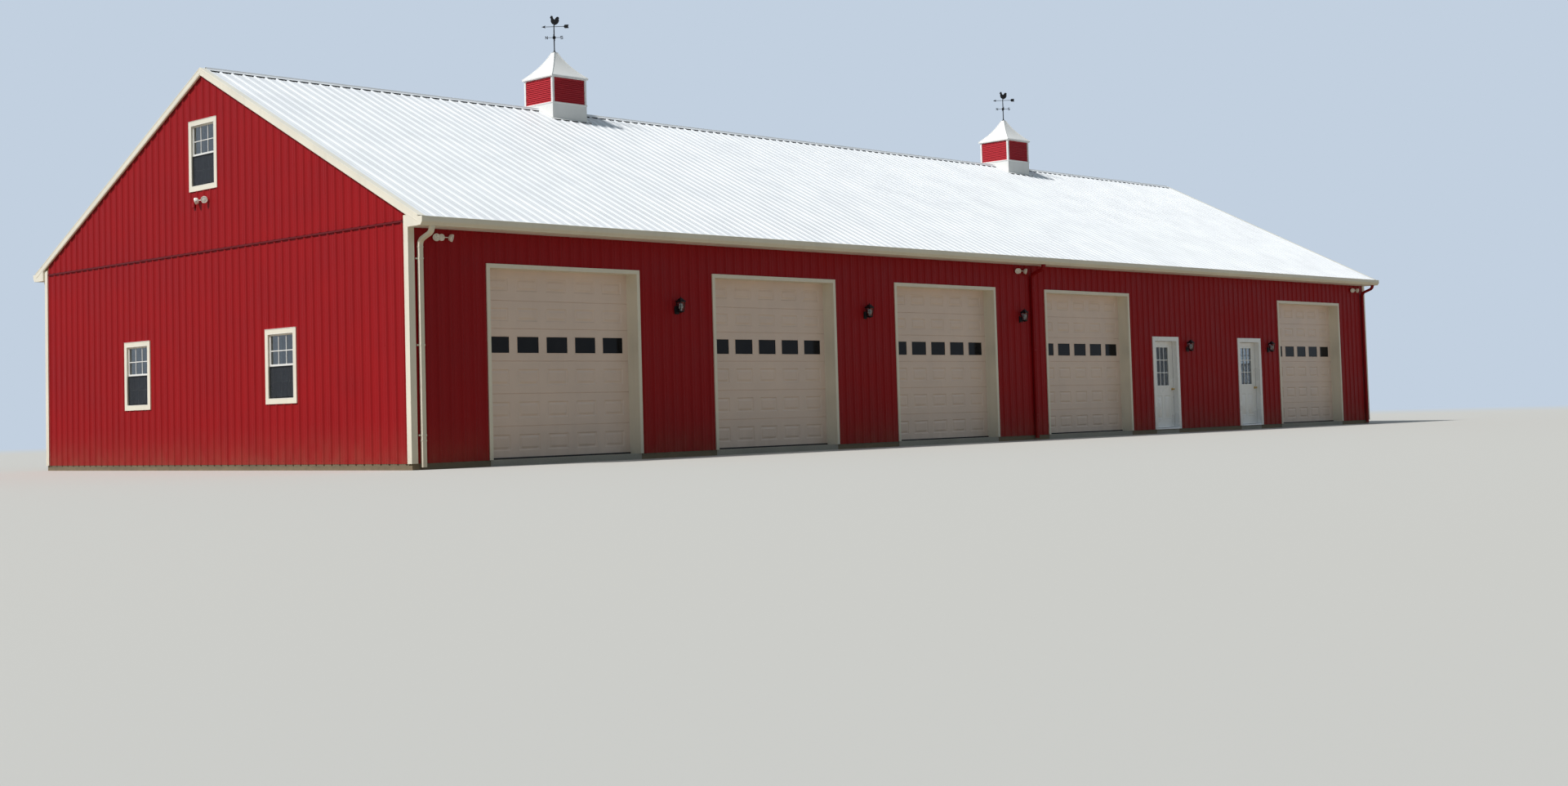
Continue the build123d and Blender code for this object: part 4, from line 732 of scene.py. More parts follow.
def make_finishes(colours):
    """Every material that the building's nodes and pieces take."""
    earth = colours.earth
    painted_metal("red_sheet", colours.red_sheet, earth, downwards, 0.52, gloss=0.2)
    # Darker red of the gable band, painted shade for the shadow line under its Z-flashing
    painted_metal("dark_red_trim", colours.dark_red, earth, downwards, 0.50, gloss=0.2)
    painted_metal("red_louvre", colours.louvre_red, earth, even, 0.5, gloss=0.2)
    painted_metal("white_sheet", colours.white_sheet, earth, down_slope, 0.38, streaks=0.10)
    painted_metal("white_trim", colours.white_trim, earth, downwards, 0.42, streaks=0.06)
    painted_metal("cream_trim", colours.cream, earth, downwards, 0.42, streaks=0.10)
    painted_metal("white_lamp", colours.lamp_white, earth, even, 0.35, streaks=0.04)
    painted_metal("black_metal", colours.black_metal, earth, even, 0.58, streaks=0.10, gloss=0.25)
    doors = (("tan_door", colours.tan_door, 0.35, 0.40, 0.5), ("white_door", colours.white_door, 0.1, 0.27, 1.0))
    for slot, paint, dust, rough, gloss in doors:
        door = painted_metal(slot, paint, earth, downwards, rough, dust=dust, streaks=0.05, gloss=gloss)
        door.relief(60.0, (0.08, 1, 1), 0.22, 0.0012)

    for slot, wood, along, splash in (
        ("framing", colours.framing, (0.2, 0.2, 0.2), None),
        ("treated_wood", colours.treated_wood, (0.08, 0.08, 1.0), earth),
    ):
        grain = ((14.0, along, 0.22), (90.0, along, 0.12))
        toned(slot, wood, grain, (0.62, 0.85), (120.0, along, 0.5, 0.0015), splash)
    clouds = ((1.1, even, 0.14), (45.0, even, 0.10))
    toned("concrete", colours.concrete, clouds, (0.7, 0.9), (30.0, even, 0.35, 0.002))
    toned("rubber", colours.rubber, ((24.0, even, 0.3),), (0.7, 0.9), (300.0, even, 0.3, 0.0008))
    for slot, tint, bending in (("glass", (0.42, 0.46, 0.48, 1), 1.95), ("clear_glass", (0.70, 0.72, 0.72, 1), 1.3)):
        smear = ((3.0, (1, 1, 0.4), 0.1),)
        settings = {"Base_Color": tint, "Transmission_Weight": 1.0, "IOR": bending}
        toned(slot, (1, 1, 1, 1), smear, (0.01, 0.06), (1.6, even, 0.06, 0.01), **settings)
    haze, waver = ((2.0, even, 0.4),), (1.4, even, 0.08, 0.01)
    # Overhead door panes: an opaque near-black plate, its darkness painted shade for the unlit room behind the glass
    toned("tinted_glass", (0.012, 0.012, 0.014, 1), haze, (0.08, 0.2), waver, Specular_IOR_Level=0.12)
    toned("brass", (0.58, 0.40, 0.15, 1), ((60.0, even, 0.18),), (0.18, 0.36), None, Metallic=1.0)
    brushed, lines = ((30.0, (0.05, 1, 1), 0.16),), (220.0, (0.03, 1, 1), 0.2, 0.0006)
    toned("sill_metal", (0.55, 0.56, 0.56, 1), brushed, (0.32, 0.5), lines, Metallic=1.0)
    frost, prisms = ((70.0, even, 0.25),), (180.0, even, 0.4, 0.001)
    toned("lens", (0.86, 0.86, 0.83, 1), frost, (0.12, 0.3), prisms, Specular_IOR_Level=0.8)
    make_screen_finish()


def make_screen_finish():
    """Insect screen: a fine woven grid, open between its wires."""
    screen = Finish("screen_mesh")
    tree = screen.tree
    wires_per_metre = 560.0
    open_share = 0.62
    place = tree.nodes.new("ShaderNodeTexCoord")
    split = tree.nodes.new("ShaderNodeSeparateXYZ")
    tree.links.new(place.outputs["Object"], split.inputs[0])
    sideways = combine(tree, "ADD", split.outputs["X"], split.outputs["Y"])
    wires = []
    for value in (sideways, split.outputs["Z"]):
        cell = combine(tree, "FRACT", combine(tree, "MULTIPLY", value, wires_per_metre), 0.0)
        wires.append(combine(tree, "GREATER_THAN", cell, open_share))
    tree.links.new(combine(tree, "MAXIMUM", *wires), screen.shader.inputs["Alpha"])
    weave = screen.effect("Tone", Color=(0.022, 0.027, 0.036, 1), Scale=40.0, Stretch=even, Amount=0.15)
    screen.paint(weave["Color"])
    screen.roughness(weave["Value"], 0.5, 0.7)


def dress_frame():
    """Gives every node of the frame the finish of its slot in the record, or its own."""
    for node, slot in slot_of.items():
        for place in frame["nodes"][node].material_slots:
            place.material = bpy.data.materials[finish_name(own_finishes.get(node, slot))]


def rib_bends(middle, base, crown, height, after=0):
    """Bends of a rib or bead: a foot, the two edges of its crown and the other foot, which may stand on a lap."""
    feet, edges = about(middle, base / 2), about(middle, crown / 2)
    return [(feet[0], 0), (edges[0], height), (edges[1], height), (feet[1], after)]


def last_rib(run, sizes):
    """Number of ribs from a sheet's middle to its end."""
    return int((run - sizes.rib_base / 2) // sizes.rib_pitch)


def sheet_bends(run, sizes):
    """Places across a ribbed sheet where it bends, and its height there, centred on a rib."""
    bends = []
    last = last_rib(run, sizes)
    for rib in range(-last, last + 1):
        middle = rib * sizes.rib_pitch
        lap = 0 if rib % sizes.panel_ribs else sizes.lap_height
        bends += rib_bends(middle, sizes.rib_base, sizes.rib_crown, sizes.rib_height, lap)
        if lap:
            foot = middle + sizes.rib_base / 2
            bends += [(foot + 0.006, lap), (foot + 0.0065, 0)]
        if rib < last:
            for third in (1, 2):
                bead = middle + third * sizes.rib_pitch / 3
                bends += rib_bends(bead, sizes.bead_base, sizes.bead_crown, sizes.bead_height)
    return [(-run, 0)] + bends + [(run, 0)]


def add_sheet(shape, face, run, levels, openings, sizes, top=None):
    """A ribbed sheet over a face, with its openings given as left, right, low and high."""
    places, heights = zip(*sheet_bends(run, sizes))
    across, up = set(places), set(levels)
    for left, right, low, high in openings:
        across.update((left, right))
        up.update((low, high))

    def outer(place, height):
        return sizes.flat_height + float(numpy.interp(place, places, heights))

    def inner(place, height):
        return outer(place, height) - sizes.metal

    def is_open(place, height):
        return any(left < place < right and low < height < high for left, right, low, high in openings)

    lines, rows = [sorted({round(value, 5) for value in values}) for values in (across, up)]
    shape.skin(face, lines, rows, outer, inner, is_open, top)


def clear_of(openings):
    """A test of whether a screw stands clear of a sheet's openings."""
    room = 0.02

    def is_clear(across, up):
        return not any(
            left - room < across < right + room and low - room < up < high + room
            for left, right, low, high in openings
        )

    return is_clear


def add_screws(shape, face, run, rows, sizes, is_clear):
    """A hexagon screw beside every rib in each row, where the sheet is clear."""
    beside = sizes.rib_base / 2 + 0.02
    base = sizes.flat_height - sizes.metal / 2
    profile = (
        (sizes.screw_washer, base),
        (sizes.screw_head, base + 0.002),
        (sizes.screw_head, base + sizes.screw_height),
    )
    last = last_rib(run, sizes)
    for rib in range(-last, last + 1):
        across = rib * sizes.rib_pitch + (-beside if rib > 0 else beside)
        for number, row in enumerate(rows):
            if is_clear(across, row):
                turn = (rib * 7 + number * 3) % 10 * 0.1
                rings = []
                for radius, out in profile:
                    rings.append([face.at(across + x, row + y, out) for x, y in circle(6, radius, turn)])
                shape.rings(rings)


def rows_between(low, high, spacing):
    """Heights of the screw rows between a foot and a head."""
    count = max(1, round((high - low) / spacing))
    return [low + (high - low) * step / count for step in range(count + 1)]


def trimmed_doors(node, last_middle, middles):
    """Openings in the front wall's sheet, out to the trims round a row of doors."""
    last, _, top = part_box(node)[1]
    return [(*about(middle, last - last_middle), floor_top, top) for middle in middles]


def window_openings(places):
    """Openings in a sheet out to the window casings."""
    return [(*about(x, casing_half_width), *about(z, casing_half_height)) for x, z in places]


def roofline(across):
    """Height of the gable sheets' top edge, under the rake boards and purlins."""
    return ridge_height - 0.5 * abs(across) - 0.038 / pitch_cos


def add_glazing_bars(shape, face, centre, size, half, levels, out, chamfer=0.002):
    """Two upright bars over a pane, and cross bars between them at the given levels."""
    (x, z), (width, height) = centre, size
    for third in (-1, 1):
        shape.bar(face, about(x + third * width / 6, half), about(z, height / 2), out, chamfer)
    for level in levels:
        for cell in (-1, 0, 1):
            left = x + (cell - 0.5) * width / 3 + (half if cell > -1 else 0)
            right = x + (cell + 0.5) * width / 3 - (half if cell < 1 else 0)
            shape.bar(face, (left, right), about(level, half), out, chamfer)


class SHOP_OT_finishes(bpy.types.Operator):
    """Procedural finishes for the frame's nodes and for every piece"""

    bl_idname = "shop.finishes"
    bl_label = "Finishes"

    def execute(self, context):
        make_effects()
        make_finishes(context.scene.shop_colours)
        dress_frame()
        return {"FINISHED"}


class SHOP_OT_wall_sheets(bpy.types.Operator):
    """Ribbed steel sheets and their screws on the four walls"""

    bl_idname = "shop.wall_sheets"
    bl_label = "Wall sheets"

    def execute(self, context):
        sizes = context.scene.shop_sheets
        margin = 0.06
        doors = trimmed_doors("overhead_door_head_trims", overhead_middles[-1], overhead_middles)
        doors += trimmed_doors("entry_door_heads", entry_middles["right_entry_door"], entry_middles.values())
        rows = rows_between(floor_top + margin, soffit_top - margin, sizes.girt_spacing)
        for side, face, openings in (
            ("front", front_face, doors),
            ("back", back_face, window_openings(back_windows)),
        ):
            sheet, screws = Shape(), Shape()
            add_sheet(sheet, face, sheet_run, (floor_top, soffit_top), openings, sizes)
            add_screws(screws, face, sheet_run, rows, sizes, clear_of(openings))
            make_piece(f"{side}_wall_sheet", sheet, "red_sheet", f"{side}_siding")
            make_piece(f"{side}_wall_screws", screws, "red_sheet")
        self.add_gables(sizes, margin)
        return {"FINISHED"}

    def add_gables(self, sizes, margin):
        """Sheets under and over the flashing of each gable, cut to the roof's slope."""
        sheets, screws, band = Shape(), Shape(), Shape()
        rake_room, ridge_room, underlap = 0.12, 0.3, 0.01
        openings = window_openings(gable_windows)
        lower = [opening for opening in openings if opening[3] < band_low]
        upper = [opening for opening in openings if opening[2] > band_high]
        is_clear = clear_of(openings)
        rows = rows_between(floor_top + margin, band_low - margin, sizes.girt_spacing)
        rows += rows_between(band_high + margin, ridge_height - ridge_room, sizes.girt_spacing)
        rib_top = sizes.flat_height + sizes.rib_height
        low, high = band_high - 0.030, band_high + 0.012
        flashing = (
            (0.001, high), (0.0025, high), (0.0025, high - 0.014), (rib_top + 0.003, high - 0.022),
            (rib_top + 0.003, low), (rib_top + 0.006, low - 0.004), (rib_top + 0.004, low - 0.005),
            (rib_top + 0.001, low), (rib_top + 0.001, high - 0.024), (0.001, high - 0.016),
        )
        for face in (left_face, right_face):
            add_sheet(sheets, face, gable_run, (floor_top, band_high - underlap), lower, sizes)
            add_sheet(sheets, face, gable_run, (band_high, ridge_height), upper, sizes, roofline)
            add_screws(
                screws, face, gable_run, rows, sizes, lambda x, z: z < roofline(x) - rake_room and is_clear(x, z)
            )
            band.prism(face, flashing, (-gable_run, gable_run))
        make_piece("gable_sheets", sheets, "red_sheet", "gable_siding")
        make_piece("gable_screws", screws, "red_sheet")
        # The band flashing takes the darker red, painted shade for the shadow line under it
        make_piece("gable_band_flashing", band, "dark_red_trim", "gable_band_trims")


class SHOP_OT_roof_sheets(bpy.types.Operator):
    """Ribbed steel sheets and their screws on the two roof slopes"""

    bl_idname = "shop.roof_sheets"
    bl_label = "Roof sheets"

    def execute(self, context):
        sizes = context.scene.shop_sheets
        foot, head = -eave_line / pitch_cos, -0.015
        foot_room, top_row, end_room = 0.05, -0.26, 0.15
        rows = rows_between(foot + foot_room, top_row, sizes.girt_spacing)
        for side, face in (("front", front_slope), ("back", back_slope)):
            sheet, screws = Shape(), Shape()
            add_sheet(sheet, face, roof_run, (foot, head), (), sizes)
            add_screws(screws, face, roof_run - end_room, rows, sizes, clear_of(()))
            make_piece(f"{side}_roof_panels", sheet, "white_sheet", f"{side}_roof_sheet")
            make_piece(f"{side}_roof_screws", screws, "white_sheet")
        return {"FINISHED"}


class SHOP_OT_overhead_doors(bpy.types.Operator):
    """Sectional leaves with embossed panels, framed panes and a rubber foot"""

    bl_idname = "shop.overhead_doors"
    bl_label = "Overhead doors"

    def execute(self, context):
        sizes = context.scene.shop_doors
        leaves, frames, panes, seals = Shape(), Shape(), Shape(), Shape()
        half_width = leaf_high[0] - overhead_middles[-1]
        bulb_radius, bulb_out = 0.013, 0.006
        bulb = [(bulb_out + x, floor_top + bulb_radius + y) for x, y in circle(10, bulb_radius)]
        for middle in overhead_middles:
            self.add_leaf(leaves, middle, half_width, sizes)
            self.add_panes(frames, panes, middle, sizes)
            seals.prism(leaf_face, bulb, about(middle, half_width - 0.03))
        make_piece("overhead_door_leaves", leaves, "tan_door", "overhead_doors")
        make_piece("overhead_pane_frames", frames, "tan_door", round_over=40)
        make_piece("overhead_panes", panes, "tinted_glass", "overhead_door_glass")
        make_piece("overhead_door_seals", seals, "rubber", round_over=40)
        return {"FINISHED"}

    def joints(self, sizes):
        """Heights where one section meets the next, from the floor to the leaf's top."""
        heights = [floor_top + sizes.section_height * step for step in range(sizes.tall_sections + 1)]
        return heights + [heights[-1] + sizes.top_section_height, leaf_high[2]]

    def rows(self, sizes):
        """Low and high edge of the panels in each section, and of the panes in the last lower one."""
        joints = self.joints(sizes)
        low_panel = min(sizes.panel_height, sizes.top_section_height - 2 * sizes.panel_margin)
        rows = []
        for number, (low, high) in enumerate(zip(joints, joints[1:])):
            height = sizes.panel_height if number < sizes.tall_sections else low_panel
            rows.append(about((low + min(high, low + sizes.section_height)) / 2, height / 2))
        return rows, rows[sizes.tall_sections - 1]

    def columns(self, sizes):
        """Left and right edge of each panel from the door's middle."""
        half = (sizes.panel_columns - 1) / 2
        return [
            about((column - half) * sizes.panel_pitch, sizes.panel_width / 2)
            for column in range(sizes.panel_columns)
        ]

    def add_leaf(self, shape, middle, half_width, sizes):
        """A leaf pressed with a groove and a raised field for each panel, and cut out for its panes."""
        joints, columns = self.joints(sizes), self.columns(sizes)
        rows, pane_row = self.rows(sizes)
        groove, field_depth = sizes.groove_width, 0.001
        steps = (0, groove, 2 * groove, 2 * groove + sizes.field_slope)
        depths = (0, -sizes.groove_depth, -sizes.groove_depth, -field_depth)
        across, up = {-half_width, half_width}, {joints[0], joints[-1]}
        for lines, spans in ((across, columns), (up, rows)):
            for low, high in spans:
                for step in steps:
                    lines.update((low + step, high - step))
        for joint in joints[1:-1]:
            up.update(about(joint, 2 * sizes.joint_half) + about(joint, sizes.joint_half))

        def inside(value, spans):
            """Distance in from the nearer edge of the span that holds a value, or a negative number."""
            return max(min(value - low, high - value) for low, high in spans)

        def outer(place, height):
            if any(abs(height - joint) <= sizes.joint_half + 1e-6 for joint in joints[1:-1]):
                return -sizes.joint_depth
            depth = min(inside(round(place - middle, 5), columns), inside(height, rows))
            return float(numpy.interp(depth, steps, depths)) if depth > 0 else 0.0

        def inner(place, height):
            return leaf_low[1] - leaf_high[1]

        def is_open(place, height):
            return inside(place - middle, columns) > 0 and inside(height, [pane_row]) > 0

        lines = sorted({round(middle + place, 5) for place in across})
        levels = sorted({round(level, 5) for level in up})
        shape.skin(leaf_face, lines, levels, outer, inner, is_open)

    def add_panes(self, frames, glass, middle, sizes):
        """A thin frame round each opening and a pane just behind the leaf's face, its near-black colour painted shade
        for the unlit room behind the glass.
        """
        low, high = self.rows(sizes)[1]
        proud, border, seat = 0.005, sizes.pane_frame, -0.0005
        profile = (
            (0, seat), (0, proud - 0.002), (0.002, proud), (border - 0.003, proud), (border, proud - 0.003),
            (border, -0.030), (border - 0.001, -0.030), (border - 0.001, seat),
        )
        for left, right in self.columns(sizes):
            centre = (middle + (left + right) / 2, (low + high) / 2)
            frames.moulding(leaf_face, centre, (right - left + 2 * border, high - low + 2 * border), profile)
            fit = 0.002
            across, up = (middle + left + fit, middle + right - fit), (low + fit, high - fit)
            glass.bar(leaf_face, across, up, (-0.009, -0.005), 0.001)


class SHOP_OT_entry_doors(bpy.types.Operator):
    """Bars in the entry doors' glass and mouldings round their panels"""

    bl_idname = "shop.entry_doors"
    bl_label = "Entry doors"

    def execute(self, context):
        bar_half = context.scene.shop_doors.lite_bar / 2
        glass_width, glass_height, glass_middle = 0.5, 0.9, 1.58
        panel_size, panel_middle, panel_offset = (0.27, 0.56), 0.62, 0.185
        ridge = ((0, -0.007), (0, 0.003), (0.006, 0.006), (0.014, 0.002), (0.020, -0.007))
        leaf_setback = 0.100
        outside = Face((0, plate_line + leaf_setback, 0), (1, 0, 0))
        levels = [glass_middle + third * glass_height / 6 for third in (-1, 1)]
        for name, middle in entry_middles.items():
            glazing, panels = Shape(), Shape()
            low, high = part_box(f"{name}_glass")
            for face in (Face((0, low[1], 0), (1, 0, 0)), Face((0, high[1], 0), (-1, 0, 0))):
                centre = (middle * face.across.x, glass_middle)
                add_glazing_bars(
                    glazing, face, centre, (glass_width, glass_height), bar_half, levels, (0, 0.012), 0.004
                )
            for offset in (-panel_offset, panel_offset):
                panels.moulding(outside, (middle + offset, panel_middle), panel_size, ridge)
                field = []
                for inset, out in ((0.036, -0.007), (0.060, -0.001)):
                    across = about(middle + offset, panel_size[0] / 2 - inset)
                    field.append(outside.rectangle(across, about(panel_middle, panel_size[1] / 2 - inset), out))
                panels.rings(field)
            make_piece(f"{name}_lites", glazing, "white_door", body=name)
            make_piece(f"{name}_panels", panels, "white_door", body=name, round_over=30)
        return {"FINISHED"}


class SHOP_OT_windows(bpy.types.Operator):
    """Sashes with slim stiles, panes, glazing bars and framed insect screens"""

    bl_idname = "shop.windows"
    bl_label = "Windows"

    def execute(self, context):
        sizes = context.scene.shop_windows
        sashes, panes, bars, frames, screens = Shape(), Shape(), Shape(), Shape(), Shape()
        for face, places in ((left_face, gable_windows), (right_face, gable_windows), (back_face, back_windows)):
            for x, z in places:
                for middle, out in (
                    (z + sizes.sash_offset, sizes.upper_out),
                    (z - sizes.sash_offset, sizes.lower_out),
                ):
                    self.add_sash(sashes, panes, bars, face, x, middle, out, sizes)
                self.add_screen(frames, screens, face, x, z, sizes)
                rail = (sizes.upper_out - 0.030, sizes.upper_out + 0.001)
                sashes.bar(face, about(x, sizes.sash_width / 2 - 0.001), (z - 0.0005, z + 0.034), rail)
                self.add_casing_edges(bars, face, x, z, sizes.casing_out)
        make_piece("window_sash_frames", sashes, "white_trim", "window_sashes")
        make_piece("window_panes", panes, "glass", "window_glass")
        make_piece("window_bars", bars, "white_trim")
        make_piece("window_screen_frames", frames, "black_metal")
        make_piece("window_screen_cloth", screens, "screen_mesh", "window_screens")
        return {"FINISHED"}

    def add_sash(self, sashes, panes, bars, face, x, z, out, sizes):
        """A sash with a moulded frame, its pane and three columns of lights in two rows on each side."""
        sash_depth = 0.034
        stile, back = sizes.stile, out - sash_depth
        profile = (
            (0, back), (0, out - 0.002), (0.002, out), (stile - 0.008, out),
            (stile, out - 0.010), (stile, back + 0.010), (stile - 0.008, back),
        )
        width, height = sizes.sash_width, sizes.sash_height
        sashes.moulding(face, (x, z), (width, height), profile)
        middle = (out + back) / 2
        across, up = about(x, width / 2 - stile + 0.004), about(z, height / 2 - stile + 0.004)
        panes.bar(face, across, up, about(middle, 0.003), 0.0005)
        for depth in ((middle + 0.003, middle + 0.010), (middle - 0.010, middle - 0.003)):
            size = (width - 2 * stile, height - 2 * stile)
            add_glazing_bars(bars, face, (x, z), size, sizes.bar_width / 2, (z,), depth)

    def add_screen(self, frames, screens, face, x, z, sizes):
        """A dark frame with its cloth and two pull tabs, over the lower sash."""
        low, high = z - 0.5395, z - 0.0010
        half, border, out = sizes.sash_width / 2 - 0.001, sizes.screen_frame, sizes.screen_out
        profile = (
            (0, out - 0.010), (0, out - 0.001), (0.002, out),
            (border - 0.002, out), (border, out - 0.003), (border, out - 0.010),
        )
        frames.moulding(face, (x, (low + high) / 2), (2 * half, high - low), profile)
        inset = border - 0.003
        up = (low + inset, high - inset)
        screens.bar(face, about(x, half - inset), up, (out - 0.0065, out - 0.0055), 0.0001)
        tab_offset, tab_half, tab_height = 0.18, 0.012, 0.010
        for at in about(x, tab_offset):
            up = (low + border, low + border + tab_height)
            frames.bar(face, about(at, tab_half), up, (out - 0.009, out + 0.001))

    def add_casing_edges(self, shape, face, x, z, out):
        """A bead round the opening and a drip cap over the head."""
        bead = (
            (-0.008, out - 0.001), (-0.008, out + 0.002), (-0.002, out + 0.002), (0, out - 0.004), (-0.001, out - 0.010)
        )
        opening = (0.762, 1.080)
        shape.moulding(face, (x, z), opening, bead)
        head = z + casing_half_height
        cap = (
            (out - 0.001, head), (out + 0.006, head - 0.002), (out + 0.006, head - 0.006),
            (out + 0.004, head - 0.006), (out + 0.004, head - 0.004), (out - 0.001, head - 0.004),
        )
        shape.prism(face, cap, about(x, casing_half_width))


class SHOP_OT_roof_edges(bpy.types.Operator):
    """Ridge cap with foam closures, gutters with rolled lips, downspouts, hems and trim screws"""

    bl_idname = "shop.roof_edges"
    bl_label = "Roof edges"

    def execute(self, context):
        sheets, sizes = context.scene.shop_sheets, context.scene.shop_edges
        self.add_ridge(sheets, sizes)
        self.add_gutters(sizes)
        for name, count in (("cream_downspouts", 1), ("red_downspouts", 2)):
            self.add_downspouts(name, count, sizes)
        self.add_corner_trims(sheets, sizes)
        self.add_rake_hems()
        return {"FINISHED"}

    def add_ridge(self, sheets, sizes):
        """The cap runs from the gables to the cupolas, and closures fill the sheets' flats under its edges."""
        cap, closures = Shape(), Shape()
        rib_top = sheets.flat_height + sheets.rib_height
        thick, fold = 0.0015, 0.028
        half = sizes.cap_width * pitch_cos
        drop = half * pitch_sin / pitch_cos
        crest = ridge_height + sizes.cap_crest
        edge = ridge_height + rib_top / pitch_cos - drop
        outer = [
            (-half, edge - thick), (-half, edge + thick), (-fold, edge + thick + drop * (1 - fold / half)),
            (-0.014, crest - 0.004), (0, crest),
        ]
        outer += [(-across, up) for across, up in outer[-2::-1]]
        inner = [(across * (1 - 0.002 / half), up - thick * 1.2) for across, up in outer[1:-1]]
        inner = [(-half + thick, edge - thick)] + inner + [(half - thick, edge - thick)]
        stops = [-cap_run, cap_run]
        for middle in cupola_middles:
            stops += about(middle, cupola_half_width)
        stops.sort()
        for ends in zip(stops[::2], stops[1::2]):
            cap.solid([[Vector((x, y, z)) for y, z in outer + inner[::-1]] for x in ends])
        screw = ((sheets.screw_washer, 0), (sheets.screw_head, 0.003), (sheets.screw_head, 0.007))
        last = int((cap_run - 0.1) // sheets.rib_pitch)
        for face in (front_slope, back_slope):
            up = (0.004 - sizes.cap_width, 0.024 - sizes.cap_width)
            closures.bar(face, about(0, roof_run - 0.05), up, (0, rib_top - 0.0005), 0.001)
            for rib in range(-last, last + 1):
                across = rib * sheets.rib_pitch
                reach = min(abs(across * face.across.x - middle) for middle in cupola_middles)
                if reach >= cupola_half_width + 0.02:
                    place = face.at(across, 0.035 - sizes.cap_width, rib_top - 0.001)
                    cap.turned(place, face.out, screw, 6)
        make_piece("ridge_cap_sheet", cap, "white_sheet", "ridge_cap")
        make_piece("ridge_closures", closures, "rubber")

    def add_gutters(self, sizes):
        """Troughs with a stepped and curved front, a rolled lip, end caps and hangers."""
        gutters, hangers = Shape(), Shape()
        low, high = gutter_low[2], gutter_high[2]
        front = gutter_high[1]
        back, base = front - 0.120, front - 0.040
        wall = 0.0022
        outer = [
            (back, high), (back, low), (base, low), (base + 0.004, low + 0.012), (base + 0.013, low + 0.026),
            (base + 0.026, low + 0.036), (base + 0.034, low + 0.050), (front - 0.002, low + 0.066),
            (front - 0.001, low + 0.074), (front, high - 0.022), (front, high - 0.003), (front - 0.003, high),
            (front - 0.012, high), (front - 0.014, high - 0.004),
        ]
        inner = [(front - 0.005, high - 0.006)] + [(out - wall, up + wall) for out, up in outer[9:2:-1]]
        inner += [(base - wall, low + wall), (back + wall, low + wall), (back + wall, high)]
        run = gutter_high[0] - 0.001
        count = round(2 * run / sizes.hanger_spacing)
        for face in (front_side, back_side):
            gutters.prism(face, outer + inner, (-run, run))
            for side in (-1, 1):
                gutters.prism(face, outer[:-1], (side * run, side * (run + 0.001)))
            for number in range(count):
                at = -run + 2 * run * (number + 0.5) / count
                hangers.bar(face, about(at, 0.012), (high - 0.012, high - 0.009), (back, front - 0.004), 0.0005)
        make_piece("gutter_troughs", gutters, "cream_trim", "gutters", round_over=40)
        make_piece("gutter_hangers", hangers, "sill_metal")

    def flutes(self, half_width, half_depth):
        """Section of a downspout, with five flutes in its front and its back."""
        count, span, flute = 5, half_width - 0.008, 0.0028
        section = []
        for side in (1, -1):
            level = side * half_depth
            quarter = span / count * 0.5 * side
            for number in range(count):
                middle = (-span + 2 * span * (number + 0.5) / count) * side
                for offset, up in ((-1.5, level), (-1, level - side * flute), (1, level - side * flute), (1.5, level)):
                    section.append((middle + quarter * offset, up))
            edge = side * half_width
            section += [(edge - side * 0.003, level), (edge, level - side * 0.006)]
            section += [(edge, -level + side * 0.006), (edge - side * 0.003, -level)]
        return section

    def add_downspouts(self, name, count, sizes):
        """Fluted pipes with rounded elbows, collars and straps to the wall."""
        pipes, straps = Shape(), Shape()
        half_width, half_depth = 0.040, 0.028
        wall = trim_run[1]
        pipe_out, wall_out = gutter_high[1] - 0.080, wall + half_depth
        head, foot = gutter_low[2] + 0.001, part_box("cream_downspouts")[0][2]
        bends = [(pipe_out, head), (pipe_out, head - 0.091), (wall_out, head - 0.201), (wall_out, foot)]
        route = rounded_route(bends, 0.088, 8)
        section = self.flutes(half_width, half_depth)
        collar = [(x * (half_width + 0.003), y * (half_depth + 0.003)) for x, y in square]
        collar_height, strap_height, tab_width = 0.014, 0.026, 0.030
        low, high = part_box(name)
        for face in (front_side, back_side):
            for x in (low[0] + half_width, high[0] - half_width)[:count]:
                at = x * face.across.x
                pipes.swept(face, at, route, section)
                for out, level in ((pipe_out, head - 0.012), (wall_out, head - 0.300), (wall_out, foot + 0.42)):
                    pipes.swept(face, at, [(out, level), (out, level - collar_height)], collar)
                for level in sizes.strap_levels:
                    foot_of_strap = level - strap_height
                    straps.swept(face, at, [(wall_out, level), (wall_out, foot_of_strap)], collar)
                    for side in (-1, 1):
                        tab = (at + side * half_width, at + side * (half_width + tab_width))
                        straps.bar(face, tab, (foot_of_strap, level), (wall - 0.004, wall), 0.001)
        colour_word = name.split("_")[0]
        make_piece(f"{colour_word}_pipes", pipes, slot_of[name], name, round_over=35)
        make_piece(f"{colour_word}_pipe_straps", straps, slot_of[name])

    def add_corner_trims(self, sheets, sizes):
        """Screws and folded hems along the corner trims."""
        screws, hems = Shape(), Shape()
        end_room, spacing, hem_width, screw_inset = 0.12, 0.9, 0.010, 0.028
        rows = rows_between(floor_top + end_room, soffit_top - end_room, spacing)
        screw = ((sheets.screw_washer, 0), (sheets.screw_head, 0.002), (sheets.screw_head, 0.005))
        width, depth = trim_run[:2]
        for face, reach in (
            (Face((0, -depth, 0), (1, 0, 0)), width),
            (Face((0, depth, 0), (-1, 0, 0)), width),
            (Face((-width, 0, 0), (0, -1, 0)), depth),
            (Face((width, 0, 0), (0, 1, 0)), depth),
        ):
            for side in (-1, 1):
                inner = side * (reach - sizes.corner_trim)
                up = (floor_top, soffit_top - 0.003)
                hems.bar(face, (inner, inner + side * hem_width), up, (-0.0015, 0.0015), 0.001)
                for row in rows:
                    screws.turned(face.at(inner + side * screw_inset, row, -0.0005), face.out, screw, 6)
        make_piece("corner_trim_hems", hems, "cream_trim")
        make_piece("corner_trim_screws", screws, "cream_trim")

    def add_rake_hems(self):
        """Folded hems along the boards of the gable edges."""
        hems = Shape()
        along = ((0.02 - eave_line) / pitch_cos, -0.012)
        for slope in (front_slope, back_slope):
            for side in (-1, 1):
                edge = (side * (rake_out - 0.0005), side * (rake_out + 0.0035))
                for out in ((-0.0768, -0.0668), (0.008, 0.016)):
                    hems.bar(slope, edge, along, out, 0.001)
        make_piece("rake_hems", hems, "cream_trim")


